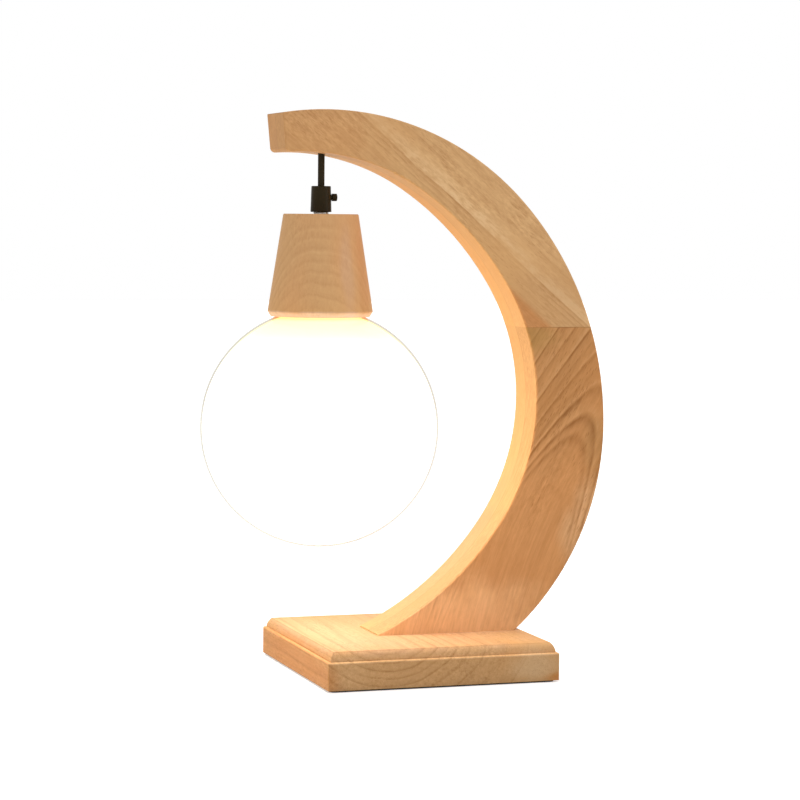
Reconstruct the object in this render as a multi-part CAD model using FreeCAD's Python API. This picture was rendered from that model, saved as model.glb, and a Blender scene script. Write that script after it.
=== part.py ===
import FreeCAD, Part
import math
import os

# Table lamp. A square wooden base carries a crescent arch, and an opal globe hangs from the
# arch's tip on a short cord.
#
# Millimetres. The origin is the middle of the base's underside, on the table. +Z is up, and +X
# points from the globe to the arch's back. The arch and the globe's axis lie in the plane Y = 0.

os.makedirs("parts", exist_ok=True)
Vector = FreeCAD.Vector

# ---------------------------------------------------------------- driving dimensions

# Clearances
GLUE_GAP = 0.05              # dowel in its hole, screw in its pilot hole
SCREW_GAP = 0.25             # screw through a clearance hole
RUNNING_GAP = 0.08           # globe's neck in its gallery
SLIP_GAP = 0.3               # pieces that pass each other without touching
CORD_GAP = 0.4               # cord in a hole that it only passes through

# Base
BASE_SIDE = 150.0
PAD_THICKNESS = 1.2
PAD_INSET = 2.0
PAD_CORNER = 4.0
SLAB_HEIGHT = 17.2           # the plain, upright side
SLAB_ARRIS = 1.3             # rounded top edge of the side
LEDGE_WIDTH = 1.9            # side to the foot of the round-over
STEP_HEIGHT = 6.0            # round-over, from the ledge to the top
STEP_WIDTH = 2.8
STEP_BULGE = 0.6             # how far the round-over swells out of its chord
SIDE_EDGE = 0.8              # rounded upright corners

# Arch: two glued laminations, each in a lower and an upper piece
ARCH_THICKNESS = 38.0
OUTER_CROWN_X = -60.0
OUTER_CROWN_HEIGHT = 329.1   # above the base's top
OUTER_CROWN_RADIUS = 178.0
OUTER_BACK_RADIUS = 208.0
OUTER_FOOT_RADIUS = 172.0
OUTER_CROWN_DEGREES = 47.0   # turn of each arc, counted from the crown
OUTER_BACK_DEGREES = 44.0
INNER_CROWN_X = -75.5
INNER_CROWN_HEIGHT = 303.0
INNER_CROWN_RADIUS = 138.0
INNER_SHOULDER_RADIUS = 192.0
INNER_BACK_RADIUS = 140.0
INNER_FOOT_RADIUS = 195.0
INNER_CROWN_DEGREES = 33.0
INNER_SHOULDER_DEGREES = 25.0
INNER_BACK_DEGREES = 67.0
TIP_X = -89.7                # upper corner of the tip's end face
TIP_SET_BACK = 2.3           # how far its lower corner lies behind the upper one
TIP_LOWER_ROUND = 3.0
TIP_UPPER_ROUND = 0.5
TOE_HEIGHT = 1.0             # thin end of the foot, under the globe
ARCH_EDGE_ROUND = 1.2
JOINT_HEIGHT = 193.8         # glue joint above the base's top

# Dowels across the glue joint
DOWEL_RADIUS = 4.0
DOWEL_LENGTH = 30.0
DOWEL_CHAMFER = 0.8
DOWEL_HOLE_SPARE = 1.0       # depth left beyond each end
DOWEL_SPACING = 16.0         # across the arch, between the two dowels of a board

# Wood screws up through the base into the foot
FOOT_SCREW_XS = (12.0, 52.0)
FOOT_SCREW_RADIUS = 2.1
FOOT_SCREW_LENGTH = 36.0     # under the head
FOOT_SCREW_POINT = 4.0
FOOT_SCREW_HEAD_RADIUS = 4.1
FOOT_SCREW_HEAD_HEIGHT = 2.6
FOOT_SCREW_SOCKET = 1.5      # radius of the driver's hexagon
FOOT_SCREW_RECESS = 4.0      # depth of the counterbore

# Wiring pocket in the base, with the mains lead's inlet behind it
POCKET_X = 31.0
POCKET_WIDTH = 24.0
POCKET_FRONT_Y = -8.0
POCKET_BACK_Y = 38.0
POCKET_DEPTH = 13.0
POCKET_CORNER = 4.0
INLET_DROP = 5.0             # inlet's axis below the pocket's ceiling
BUSH_RADIUS = 4.5
BUSH_LENGTH = 10.0
BUSH_BORE = 3.1
BUSH_FLANGE_RADIUS = 6.4
BUSH_FLANGE = 1.6
BUSH_FLANGE_EDGE = 0.5
TERMINAL_LENGTH = 16.0
TERMINAL_WIDTH = 14.0
TERMINAL_HEIGHT = 9.0
TERMINAL_EDGE = 0.8
TERMINAL_WAY = 1.6           # radius of each wire way
TERMINAL_WAY_SPACING = 6.5
TERMINAL_SCREW_RADIUS = 1.4
TERMINAL_SCREW_LENGTH = 2.6
TERMINAL_FIXING_RADIUS = 1.2
TERMINAL_FIXING_LENGTH = 15.0
TERMINAL_FIXING_HEAD = 2.2
TERMINAL_FIXING_HEAD_HEIGHT = 1.4

# Cord
CORD_RADIUS = 2.1
CHANNEL_RADIUS = 3.5         # groove routed half in each lamination
BEND_SHARE = 0.45            # share of the shorter run that a bend takes
EXIT_SHOULDER = 4.0          # narrow part of the exit hole
STOP_RADIUS = 3.8
STOP_LENGTH = 5.0
STOP_POCKET = 7.0

# Hanging head
PENDANT_X = -59.5
FREE_CORD = 20.1             # arch's underside to the top of the cord grip
GRIP_HEIGHT = 16.2
GRIP_TOP_RADIUS = 6.1
GRIP_FOOT_RADIUS = 6.6
GRIP_EDGE = 0.5
GRIP_SCREW_DROP = 7.0        # screw's axis below the grip's top
GRIP_SCREW_RADIUS = 1.5
GRIP_SCREW_NECK = 0.5        # shank seen between the grip and the head
GRIP_SCREW_HEAD = 2.9
GRIP_SCREW_HEAD_RADIUS = 2.35
GRIP_SCREW_SLOT = 0.7
NIPPLE_RADIUS = 5.0
NIPPLE_BORE = 2.9
NIPPLE_ENTRY = 6.0           # length screwed into the grip
NIPPLE_SHOWN = 1.2           # between the grip and the cup
NIPPLE_CHAMFER = 0.5

CUP_HEIGHT = 60.8            # top to the lower edge's widest ring
CUP_TOP_RADIUS = 23.6
CUP_FOOT_RADIUS = 33.0
CUP_BEVEL_HEIGHT = 3.1
CUP_BEVEL_WIDTH = 1.8
CUP_TOP_WALL = 6.0
CUP_WALL = 4.2               # at the top of the hollow
CUP_EDGE = 0.5
WASHER_RADIUS = 9.0
WASHER_THICKNESS = 1.0
NUT_ACROSS_FLATS = 14.0
NUT_HEIGHT = 3.0

# Lampholder and its shade ring
HOLDER_RADIUS = 19.0
HOLDER_BOSS_RADIUS = 8.0
HOLDER_BOSS_HEIGHT = 5.0
HOLDER_DOME_HEIGHT = 10.0
HOLDER_DOME_TOP_RADIUS = 14.0
HOLDER_WALL = 2.2
HOLDER_BODY_HEIGHT = 19.0    # dome to the flange's underside
HOLDER_FLANGE = 1.8
HOLDER_FLANGE_RADIUS = 21.0
HOLDER_SKIRT = 12.0          # threaded part below the flange
HOLDER_FLOOR = 3.5
SHELL_WALL = 0.7
SHELL_HEIGHT = 24.0
SHELL_LIP = 1.0
CONTACT_WIDTH = 4.0
CONTACT_THICKNESS = 0.5
CONTACT_REACH = 7.0
CONTACT_RISE = 1.2
SHADE_RING_HEIGHT = 4.0
SHADE_RING_WALL = 3.3
SHADE_RING_NOTCHES = 12
SHADE_RING_NOTCH = 0.8

# Threaded gallery that takes the globe's neck
GALLERY_DISC = 1.2
GALLERY_WALL = 1.9
NECK_SHOWN = 3.3             # straight part of the globe's neck below the gallery
RUBBER_THICKNESS = 1.7
RUBBER_WALL = 2.5

# Globe
GLOBE_RADIUS = 75.0
GLOBE_GAP = 1.8              # cup's mouth to the ball, upright
GLOBE_WALL = 2.5
NECK_RADIUS = 26.0
NECK_WALL = 2.8
NECK_FILLET = 3.0

# Bulb
BULB_CAP_RADIUS = 13.1
BULB_CAP_LENGTH = 21.0
BULB_CAP_CONE = 4.0
BULB_CONTACT_RADIUS = 4.8
BULB_CONTACT_HEIGHT = 1.2
BULB_RADIUS = 22.5
BULB_NECK_RADIUS = 14.0
BULB_HOUSING = 24.0          # cap to the dome's rim
BULB_LENGTH = 51.0           # cap to the dome's lowest point
BULB_DOME_WALL = 1.5

# ---------------------------------------------------------------- derived places

SLAB_TOP = PAD_THICKNESS + SLAB_HEIGHT
BASE_TOP = SLAB_TOP + STEP_HEIGHT
HALF_SIDE = BASE_SIDE / 2
HALF_ARCH = ARCH_THICKNESS / 2
LAMINATION_MIDDLE = HALF_ARCH / 2
JOINT_Z = BASE_TOP + JOINT_HEIGHT
POCKET_CEILING = PAD_THICKNESS + POCKET_DEPTH
INLET_Z = POCKET_CEILING - INLET_DROP


def underside_z(x):
    """Height of the arch's underside near its tip, at x."""
    across = x - INNER_CROWN_X
    rise = math.sqrt(INNER_CROWN_RADIUS**2 - across**2)
    return BASE_TOP + INNER_CROWN_HEIGHT - INNER_CROWN_RADIUS + rise


EXIT_Z = underside_z(PENDANT_X)
GRIP_TOP = EXIT_Z - FREE_CORD
GRIP_FOOT = GRIP_TOP - GRIP_HEIGHT
CUP_TOP = GRIP_FOOT - NIPPLE_SHOWN
CUP_WIDEST = CUP_TOP - CUP_HEIGHT
CUP_MOUTH = CUP_WIDEST - CUP_BEVEL_HEIGHT
CUP_CEILING = CUP_TOP - CUP_TOP_WALL
NUT_FOOT = CUP_CEILING - WASHER_THICKNESS - NUT_HEIGHT
HOLDER_TOP = NUT_FOOT - SLIP_GAP
DOME_TOP = HOLDER_TOP - HOLDER_BOSS_HEIGHT
DOME_FOOT = DOME_TOP - HOLDER_DOME_HEIGHT
FLANGE_FOOT = DOME_FOOT - HOLDER_BODY_HEIGHT
SKIRT_FOOT = FLANGE_FOOT - HOLDER_SKIRT
SHELL_TOP = DOME_FOOT - HOLDER_FLOOR
DISC_FOOT = FLANGE_FOOT - GALLERY_DISC
GALLERY_BORE = NECK_RADIUS + RUNNING_GAP
GALLERY_RADIUS = GALLERY_BORE + GALLERY_WALL
CUP_BORE = GALLERY_RADIUS + SLIP_GAP
RUBBER_TOP = DISC_FOOT - SLIP_GAP
NECK_TOP = RUBBER_TOP - RUBBER_THICKNESS
GLOBE_Z = CUP_MOUTH - GLOBE_GAP - math.sqrt(GLOBE_RADIUS**2 - (CUP_FOOT_RADIUS - CUP_BEVEL_WIDTH)**2)
NECK_FOOT = GLOBE_Z + math.sqrt((GLOBE_RADIUS + NECK_FILLET)**2 - (NECK_RADIUS + NECK_FILLET)**2)
GALLERY_FOOT = NECK_FOOT + NECK_SHOWN
SHELL_RADIUS = BULB_CAP_RADIUS + SLIP_GAP + SHELL_WALL
BULB_TIP = SHELL_TOP - CONTACT_RISE - CONTACT_THICKNESS - SLIP_GAP
BULB_CAP_TOP = BULB_TIP - BULB_CONTACT_HEIGHT
BULB_CAP_FOOT = BULB_CAP_TOP - BULB_CAP_CONE - BULB_CAP_LENGTH

# The lead's way through the arch: x and z of its corners, in the plane Y = 0, from the exit
# hole to the wiring pocket. Then its two corners in the pocket, where it turns to the terminals.
CORD_START_Z = EXIT_Z + CORD_RADIUS + SLIP_GAP
ARCH_ROUTE = (
    (PENDANT_X, CORD_START_Z),
    (PENDANT_X, 338.0),
    (-53.0, 344.5),
    (-38.0, 344.0),
    (-14.0, 333.0),
    (22.0, 312.0),
    (58.0, 279.0),
    (84.0, 241.0),
    (98.0, 200.0),
    (102.5, 160.0),
    (98.0, 122.0),
    (82.0, 86.0),
    (58.0, 56.0),
    (38.0, 38.0),
    (32.0, 25.0),
    (POCKET_X, 13.0),
)
POCKET_TURN_Y = 7.0
TERMINAL_Y = 14.0            # terminal block's front face, where the lead ends


# ---------------------------------------------------------------- helpers

def cylinder(radius, height, base, axis=Vector(0, 0, 1)):
    return Part.makeCylinder(radius, height, base, axis)


def ring(outer, inner, low, high, x=0.0):
    """Upright tube between two heights."""
    hole = cylinder(inner, high - low, Vector(x, 0, low))
    return cylinder(outer, high - low, Vector(x, 0, low)).cut(hole)


def block(x_range, y_range, z_range):
    corner = Vector(x_range[0], y_range[0], z_range[0])
    sides = [high - low for low, high in (x_range, y_range, z_range)]
    return Part.makeBox(*sides, corner)


def rounded_block(x_range, y_range, z_range, radius):
    """Block with rounded upright edges."""
    solid = block(x_range, y_range, z_range)
    upright = [edge for edge in solid.Edges if edge.tangentAt(edge.FirstParameter).z**2 > 0.5]
    return solid.makeFillet(radius, upright)


def outline(points):
    """Closed face in the plane Y = 0 from (x, z) pairs."""
    corners = [Vector(x, 0, z) for x, z in points]
    return Part.Face(Part.makePolygon(corners + corners[:1]))


def turned(points, x=PENDANT_X):
    """Solid turned about the upright axis at x, from (radius, z) pairs."""
    return moved(outline(points).revolve(Vector(), Vector(0, 0, 1), 360), x)


def moved(shape, x, y=0.0, z=0.0):
    copy = shape.copy()
    copy.translate(Vector(x, y, z))
    return copy


def edges_where(shape, test):
    return [edge for edge in shape.Edges if test(edge.BoundBox)]


def flat_box(low, high, value, slack=1e-3):
    """Whether one extent of a bounding box lies at a single value."""
    return abs(low - value) < slack and abs(high - value) < slack


def rounded_path(points):
    """Wire of straight runs joined by tangent arcs, and the arcs' radii."""
    edges = []
    radii = []
    start = points[0]
    for before, corner, after in zip(points, points[1:], points[2:]):
        entry = before - corner
        leave = after - corner
        shorter = min(entry.Length, leave.Length)
        entry.normalize()
        leave.normalize()
        reach = BEND_SHARE * shorter
        turn = math.pi - entry.getAngle(leave)
        radius = reach / math.tan(turn / 2)
        inward = (entry + leave).normalize()
        middle = corner + inward * (radius / math.cos(turn / 2) - radius)
        first = corner + entry * reach
        last = corner + leave * reach
        edges.append(Part.LineSegment(start, first).toShape())
        edges.append(Part.Arc(first, middle, last).toShape())
        radii.append(radius)
        start = last
    edges.append(Part.LineSegment(start, points[-1]).toShape())
    return Part.Wire(edges), radii


def tube(points, radius):
    """Round bar along a rounded path."""
    path, _ = rounded_path(points)
    along = points[1] - points[0]
    section = Part.Wire(Part.Circle(points[0], along, radius).toShape())
    return Part.makeSolid(path.makePipeShell([section], True, False))


def save(name, shape):
    shape.exportStep(f"parts/{name}.step")


# ---------------------------------------------------------------- base

def base_profile():
    """Half outline of the board's edge: upright side, ledge and round-over."""
    ledge = HALF_SIDE - SLAB_ARRIS
    step_foot = HALF_SIDE - LEDGE_WIDTH
    step_top = step_foot - STEP_WIDTH
    slope = math.hypot(STEP_WIDTH, STEP_HEIGHT)
    swell_x = (step_foot + step_top) / 2 + STEP_BULGE * STEP_HEIGHT / slope
    swell_z = (SLAB_TOP + BASE_TOP) / 2 + STEP_BULGE * STEP_WIDTH / slope
    arris = SLAB_ARRIS * (1 - math.sqrt(0.5))

    def side(sign):
        lower = Vector(sign * HALF_SIDE, 0, PAD_THICKNESS)
        upper = Vector(sign * HALF_SIDE, 0, SLAB_TOP - SLAB_ARRIS)
        round_middle = Vector(sign * (HALF_SIDE - arris), 0, SLAB_TOP - arris)
        round_end = Vector(sign * ledge, 0, SLAB_TOP)
        foot = Vector(sign * step_foot, 0, SLAB_TOP)
        swell = Vector(sign * swell_x, 0, swell_z)
        top = Vector(sign * step_top, 0, BASE_TOP)
        edges = [
            Part.LineSegment(lower, upper).toShape(),
            Part.Arc(upper, round_middle, round_end).toShape(),
            Part.LineSegment(round_end, foot).toShape(),
            Part.Arc(foot, swell, top).toShape(),
        ]
        return lower, top, edges

    right_low, right_top, right = side(1)
    left_low, left_top, left = side(-1)
    across = [
        Part.LineSegment(right_top, left_top).toShape(),
        Part.LineSegment(left_low, right_low).toShape(),
    ]
    return Part.Face(Part.Wire(Part.__sortEdges__(right + left + across)))


def moulded_board():
    """Board with the edge profile on all four sides, mitred at the corners."""
    length = BASE_SIDE + 2 * PAD_THICKNESS
    along_y = moved(base_profile(), 0, -length / 2).extrude(Vector(0, length, 0))
    along_x = along_y.copy()
    along_x.rotate(Vector(), Vector(0, 0, 1), 90)
    board = along_y.common(along_x).removeSplitter()
    edge = (-HALF_SIDE, HALF_SIDE)
    return board.common(rounded_block(edge, edge, (0, BASE_TOP), SIDE_EDGE))


def foot_screw_places():
    return [(x, sign * LAMINATION_MIDDLE) for x in FOOT_SCREW_XS for sign in (-1, 1)]


def base_board():
    half_width = POCKET_WIDTH / 2
    pocket = rounded_block((POCKET_X - half_width, POCKET_X + half_width),
                           (POCKET_FRONT_Y, POCKET_BACK_Y),
                           (0, POCKET_CEILING), POCKET_CORNER)
    inlet = cylinder(BUSH_RADIUS + GLUE_GAP, HALF_SIDE - POCKET_BACK_Y + POCKET_CORNER,
                     Vector(POCKET_X, HALF_SIDE, INLET_Z), Vector(0, -1, 0))
    cuts = [pocket, inlet, channel(), terminal_fixing_hole()]
    for x, y in foot_screw_places():
        cuts.append(cylinder(FOOT_SCREW_HEAD_RADIUS + SCREW_GAP, FOOT_SCREW_RECESS + PAD_THICKNESS,
                             Vector(x, y, 0)))
        cuts.append(cylinder(FOOT_SCREW_RADIUS + SCREW_GAP, BASE_TOP, Vector(x, y, 0)))
    return moulded_board().cut(cuts)


def base_pad():
    half = HALF_SIDE - PAD_INSET
    return rounded_block((-half, half), (-half, half), (0, PAD_THICKNESS), PAD_CORNER)


def inlet_bush():
    """Flanged bush that the mains lead passes, in the back edge of the base."""
    mouth = Vector(POCKET_X, HALF_SIDE + BUSH_FLANGE, INLET_Z)
    inward = Vector(0, -1, 0)
    flange = cylinder(BUSH_FLANGE_RADIUS, BUSH_FLANGE, mouth, inward)
    rim = edges_where(flange, lambda box: flat_box(box.YMin, box.YMax, mouth.y))
    flange = flange.makeFillet(BUSH_FLANGE_EDGE, rim)
    sleeve = cylinder(BUSH_RADIUS, BUSH_LENGTH + BUSH_FLANGE, mouth, inward)
    bore = cylinder(BUSH_BORE, BUSH_LENGTH + BUSH_FLANGE, mouth, inward)
    return flange.fuse(sleeve).cut(bore).removeSplitter()


def foot_screw(x, y):
    """Cylinder-head wood screw, standing point up in its counterbore."""
    seat = PAD_THICKNESS + FOOT_SCREW_RECESS
    head = cylinder(FOOT_SCREW_HEAD_RADIUS, FOOT_SCREW_HEAD_HEIGHT,
                    Vector(x, y, seat - FOOT_SCREW_HEAD_HEIGHT))
    straight = FOOT_SCREW_LENGTH - FOOT_SCREW_POINT
    shank = cylinder(FOOT_SCREW_RADIUS, straight, Vector(x, y, seat))
    point = Part.makeCone(FOOT_SCREW_RADIUS, FOOT_SCREW_RADIUS / 10, FOOT_SCREW_POINT,
                          Vector(x, y, seat + straight))
    socket = hexagon(FOOT_SCREW_SOCKET, FOOT_SCREW_HEAD_HEIGHT / 2,
                     Vector(x, y, seat - FOOT_SCREW_HEAD_HEIGHT))
    return head.fuse([shank, point]).cut(socket).removeSplitter()


def hexagon(radius, height, base):
    corners = [base + Vector(radius * math.cos(math.radians(60 * k)),
                             radius * math.sin(math.radians(60 * k)), 0) for k in range(6)]
    return Part.Face(Part.makePolygon(corners + corners[:1])).extrude(Vector(0, 0, height))


def foot_screws():
    return Part.makeCompound([foot_screw(x, y) for x, y in foot_screw_places()])


def terminal_middle_y():
    return TERMINAL_Y + TERMINAL_LENGTH / 2


def terminal_fixing_hole():
    top = POCKET_CEILING + TERMINAL_FIXING_LENGTH - TERMINAL_HEIGHT
    return cylinder(TERMINAL_FIXING_RADIUS + GLUE_GAP, top + SLIP_GAP,
                    Vector(POCKET_X, terminal_middle_y(), 0))


def terminal_screw_places():
    """The two clamping screws of each wire way."""
    quarter = TERMINAL_LENGTH / 4
    half_spacing = TERMINAL_WAY_SPACING / 2
    return [(POCKET_X + side * half_spacing, terminal_middle_y() + end * quarter)
            for side in (-1, 1) for end in (-1, 1)]


def terminal_block():
    """Two-way connector under the pocket's ceiling."""
    half = TERMINAL_WIDTH / 2
    low = POCKET_CEILING - TERMINAL_HEIGHT
    body = rounded_block((POCKET_X - half, POCKET_X + half),
                         (TERMINAL_Y, TERMINAL_Y + TERMINAL_LENGTH),
                         (low, POCKET_CEILING), TERMINAL_EDGE)
    cuts = [cylinder(TERMINAL_FIXING_RADIUS + SCREW_GAP, TERMINAL_HEIGHT,
                     Vector(POCKET_X, terminal_middle_y(), low))]
    for x, y in terminal_screw_places():
        cuts.append(cylinder(TERMINAL_SCREW_RADIUS + GLUE_GAP, TERMINAL_HEIGHT / 2,
                             Vector(x, y, low)))
    for side in (-1, 1):
        start = Vector(POCKET_X + side * TERMINAL_WAY_SPACING / 2, TERMINAL_Y, INLET_Z)
        cuts.append(cylinder(TERMINAL_WAY, TERMINAL_LENGTH, start, Vector(0, 1, 0)))
    return body.cut(cuts)


def terminal_screws():
    low = POCKET_CEILING - TERMINAL_HEIGHT
    return Part.makeCompound([cylinder(TERMINAL_SCREW_RADIUS, TERMINAL_SCREW_LENGTH, Vector(x, y, low))
                              for x, y in terminal_screw_places()])


def terminal_fixing():
    head_seat = POCKET_CEILING - TERMINAL_HEIGHT
    foot = Vector(POCKET_X, terminal_middle_y(), head_seat - TERMINAL_FIXING_HEAD_HEIGHT)
    head = cylinder(TERMINAL_FIXING_HEAD, TERMINAL_FIXING_HEAD_HEIGHT, foot)
    length = TERMINAL_FIXING_LENGTH + TERMINAL_FIXING_HEAD_HEIGHT
    return head.fuse(cylinder(TERMINAL_FIXING_RADIUS, length, foot)).removeSplitter()


# ---------------------------------------------------------------- arch

def arc_point(centre, radius, turn):
    """Point of an arc at a clockwise turn from its highest point."""
    return centre + Vector(radius * math.sin(turn), 0, radius * math.cos(turn))


def crescent_side(crown, arcs, foot_radius, tip_x, foot_z):
    """Tangent arcs, each a radius and a turn in degrees, from the tip over the crown to a level."""
    radii = [radius for radius, _ in arcs] + [foot_radius]
    centre = crown - Vector(0, 0, radii[0])
    turn = math.asin((tip_x - crown.x) / radii[0])
    reached = 0.0
    edges = []
    for (radius, degrees), next_radius in zip(arcs, radii[1:]):
        reached += math.radians(degrees)
        edges.append(arc_edge(centre, radius, turn, reached))
        centre = centre + arc_point(Vector(), radius - next_radius, reached)
        turn = reached
    edges.append(arc_edge(centre, foot_radius, turn, math.acos((foot_z - centre.z) / foot_radius)))
    return edges


def arc_edge(centre, radius, start, end):
    corners = [arc_point(centre, radius, turn) for turn in (start, (start + end) / 2, end)]
    return Part.Arc(*corners).toShape()


def crescent_face():
    """The arch's side view: two chains of arcs, closed at the tip and along the foot."""
    outer_arcs = [
        (OUTER_CROWN_RADIUS, OUTER_CROWN_DEGREES),
        (OUTER_BACK_RADIUS, OUTER_BACK_DEGREES),
    ]
    inner_arcs = [
        (INNER_CROWN_RADIUS, INNER_CROWN_DEGREES),
        (INNER_SHOULDER_RADIUS, INNER_SHOULDER_DEGREES),
        (INNER_BACK_RADIUS, INNER_BACK_DEGREES),
    ]
    outer = crescent_side(Vector(OUTER_CROWN_X, 0, BASE_TOP + OUTER_CROWN_HEIGHT),
                          outer_arcs, OUTER_FOOT_RADIUS, TIP_X, BASE_TOP)
    inner = crescent_side(Vector(INNER_CROWN_X, 0, BASE_TOP + INNER_CROWN_HEIGHT),
                          inner_arcs, INNER_FOOT_RADIUS, TIP_X + TIP_SET_BACK, BASE_TOP + TOE_HEIGHT)
    toe = inner[-1].valueAt(inner[-1].LastParameter)
    heel = outer[-1].valueAt(outer[-1].LastParameter)
    tip_low = inner[0].valueAt(inner[0].FirstParameter)
    tip_high = outer[0].valueAt(outer[0].FirstParameter)
    toe_foot = Vector(toe.x, 0, BASE_TOP)
    straight = [
        Part.LineSegment(toe, toe_foot).toShape(),
        Part.LineSegment(toe_foot, heel).toShape(),
        Part.LineSegment(tip_high, tip_low).toShape(),
    ]
    return Part.Face(Part.Wire(Part.__sortEdges__(outer + inner + straight)))


def tip_corner(solid, x):
    """The straight edge across the arch at one of the corners of the tip's end face."""
    return edges_where(solid, lambda box: flat_box(box.XMin, box.XMax, x) and box.YLength > box.ZLength)


def lamination(side):
    """One glued half of the arch, in front of (-1) or behind (1) the plane Y = 0."""
    solid = crescent_face().extrude(Vector(0, side * HALF_ARCH, 0))
    for radius, x in ((TIP_UPPER_ROUND, TIP_X), (TIP_LOWER_ROUND, TIP_X + TIP_SET_BACK)):
        solid = solid.makeFillet(radius, tip_corner(solid, x))

    def show_edge(box):
        on_face = flat_box(box.YMin, box.YMax, side * HALF_ARCH)
        return on_face and box.ZMax > BASE_TOP + TOE_HEIGHT + ARCH_EDGE_ROUND

    solid = solid.makeFillet(ARCH_EDGE_ROUND, edges_where(solid, show_edge))
    return solid.cut([channel(), exit_hole()] + dowel_holes() + screw_pilots())


def channel():
    """Groove for the lead, routed half in each lamination."""
    route = [Vector(x, 0, z) for x, z in ARCH_ROUTE]
    route[0] = Vector(PENDANT_X, 0, EXIT_Z + EXIT_SHOULDER)
    return tube(route, CHANNEL_RADIUS)


def exit_hole():
    """Narrow hole in the underside, with a wider pocket above it for the stop sleeve."""
    narrow = cylinder(CORD_RADIUS + CORD_GAP, EXIT_SHOULDER * 2,
                      Vector(PENDANT_X, 0, EXIT_Z - EXIT_SHOULDER))
    pocket = cylinder(STOP_RADIUS + CORD_GAP, STOP_POCKET, Vector(PENDANT_X, 0, EXIT_Z + EXIT_SHOULDER))
    return narrow.fuse(pocket)


def joint_middle_x():
    """Middle of the arch's width at the glue joint."""
    level = Part.makeLine(Vector(-BASE_SIDE, 0, JOINT_Z), Vector(BASE_SIDE, 0, JOINT_Z))
    return crescent_face().common(level).BoundBox.Center.x


def dowel_places():
    middle = joint_middle_x()
    half_spacing = DOWEL_SPACING / 2
    return [(middle + end * half_spacing, side * LAMINATION_MIDDLE) for end in (-1, 1) for side in (-1, 1)]


def dowel_holes():
    half = DOWEL_LENGTH / 2 + DOWEL_HOLE_SPARE
    return [cylinder(DOWEL_RADIUS + GLUE_GAP, 2 * half, Vector(x, y, JOINT_Z - half))
            for x, y in dowel_places()]


def screw_pilots():
    tip = PAD_THICKNESS + FOOT_SCREW_RECESS + FOOT_SCREW_LENGTH
    return [cylinder(FOOT_SCREW_RADIUS + GLUE_GAP, tip + SLIP_GAP, Vector(x, y, 0))
            for x, y in foot_screw_places()]


def joint_dowels():
    def dowel(x, y):
        bar = cylinder(DOWEL_RADIUS, DOWEL_LENGTH, Vector(x, y, JOINT_Z - DOWEL_LENGTH / 2))
        ends = edges_where(bar, lambda box: box.ZLength < DOWEL_CHAMFER)
        return bar.makeChamfer(DOWEL_CHAMFER, ends)

    return Part.makeCompound([dowel(x, y) for x, y in dowel_places()])


def above_joint(shape, wanted):
    """The part of a lamination above or below the glue joint."""
    reach = BASE_SIDE * 2
    low, high = (JOINT_Z, JOINT_Z + reach) if wanted else (0, JOINT_Z)
    return shape.common(block((-reach, reach), (-reach, reach), (low, high)))


# ---------------------------------------------------------------- cord

def lead_points():
    route = [Vector(x, 0, z) for x, z in ARCH_ROUTE]
    route.append(Vector(POCKET_X, POCKET_TURN_Y, INLET_Z))
    route.append(Vector(POCKET_X, TERMINAL_Y, INLET_Z))
    return route


def arch_lead():
    points = lead_points()
    path, radii = rounded_path(points)
    lead = tube(points, CORD_RADIUS)
    expected = path.Length * math.pi * CORD_RADIUS**2
    print("lead bend radii:", [round(radius, 1) for radius in radii])
    print("lead length %.1f, volume %.1f of %.1f" % (path.Length, lead.Volume, expected))
    return lead


def stop_sleeve():
    low = EXIT_Z + EXIT_SHOULDER
    return ring(STOP_RADIUS, CORD_RADIUS + SLIP_GAP, low, low + STOP_LENGTH, PENDANT_X)


def free_cord():
    """Cord between the arch and the grip, with a round end at each bend."""
    bar = cylinder(CORD_RADIUS, FREE_CORD, Vector(PENDANT_X, 0, GRIP_TOP))
    ends = [Part.makeSphere(CORD_RADIUS, Vector(PENDANT_X, 0, z)) for z in (GRIP_TOP, EXIT_Z)]
    return bar.fuse(ends).removeSplitter()


def holder_lead():
    """Cord's end inside the grip, the nipple and the lampholder's cap."""
    low = DOME_TOP - HOLDER_WALL
    return cylinder(CORD_RADIUS, GRIP_TOP - CORD_RADIUS - SLIP_GAP - low, Vector(PENDANT_X, 0, low))


# ---------------------------------------------------------------- hanging head

def grip_screw_z():
    return GRIP_TOP - GRIP_SCREW_DROP


def cord_grip():
    body = Part.makeCone(GRIP_FOOT_RADIUS, GRIP_TOP_RADIUS, GRIP_HEIGHT, Vector(PENDANT_X, 0, GRIP_FOOT))
    rims = edges_where(body, lambda box: box.ZLength < GRIP_EDGE)
    body = body.makeFillet(GRIP_EDGE, rims)
    way = cylinder(CORD_RADIUS + CORD_GAP, GRIP_HEIGHT, Vector(PENDANT_X, 0, GRIP_FOOT))
    thread = cylinder(NIPPLE_RADIUS + GLUE_GAP, NIPPLE_ENTRY + SLIP_GAP, Vector(PENDANT_X, 0, GRIP_FOOT))
    screw_hole = cylinder(GRIP_SCREW_RADIUS + GLUE_GAP, GRIP_FOOT_RADIUS * 2,
                          Vector(PENDANT_X, 0, grip_screw_z()), Vector(1, 0, 0))
    return body.cut([way, thread, screw_hole])


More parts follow.
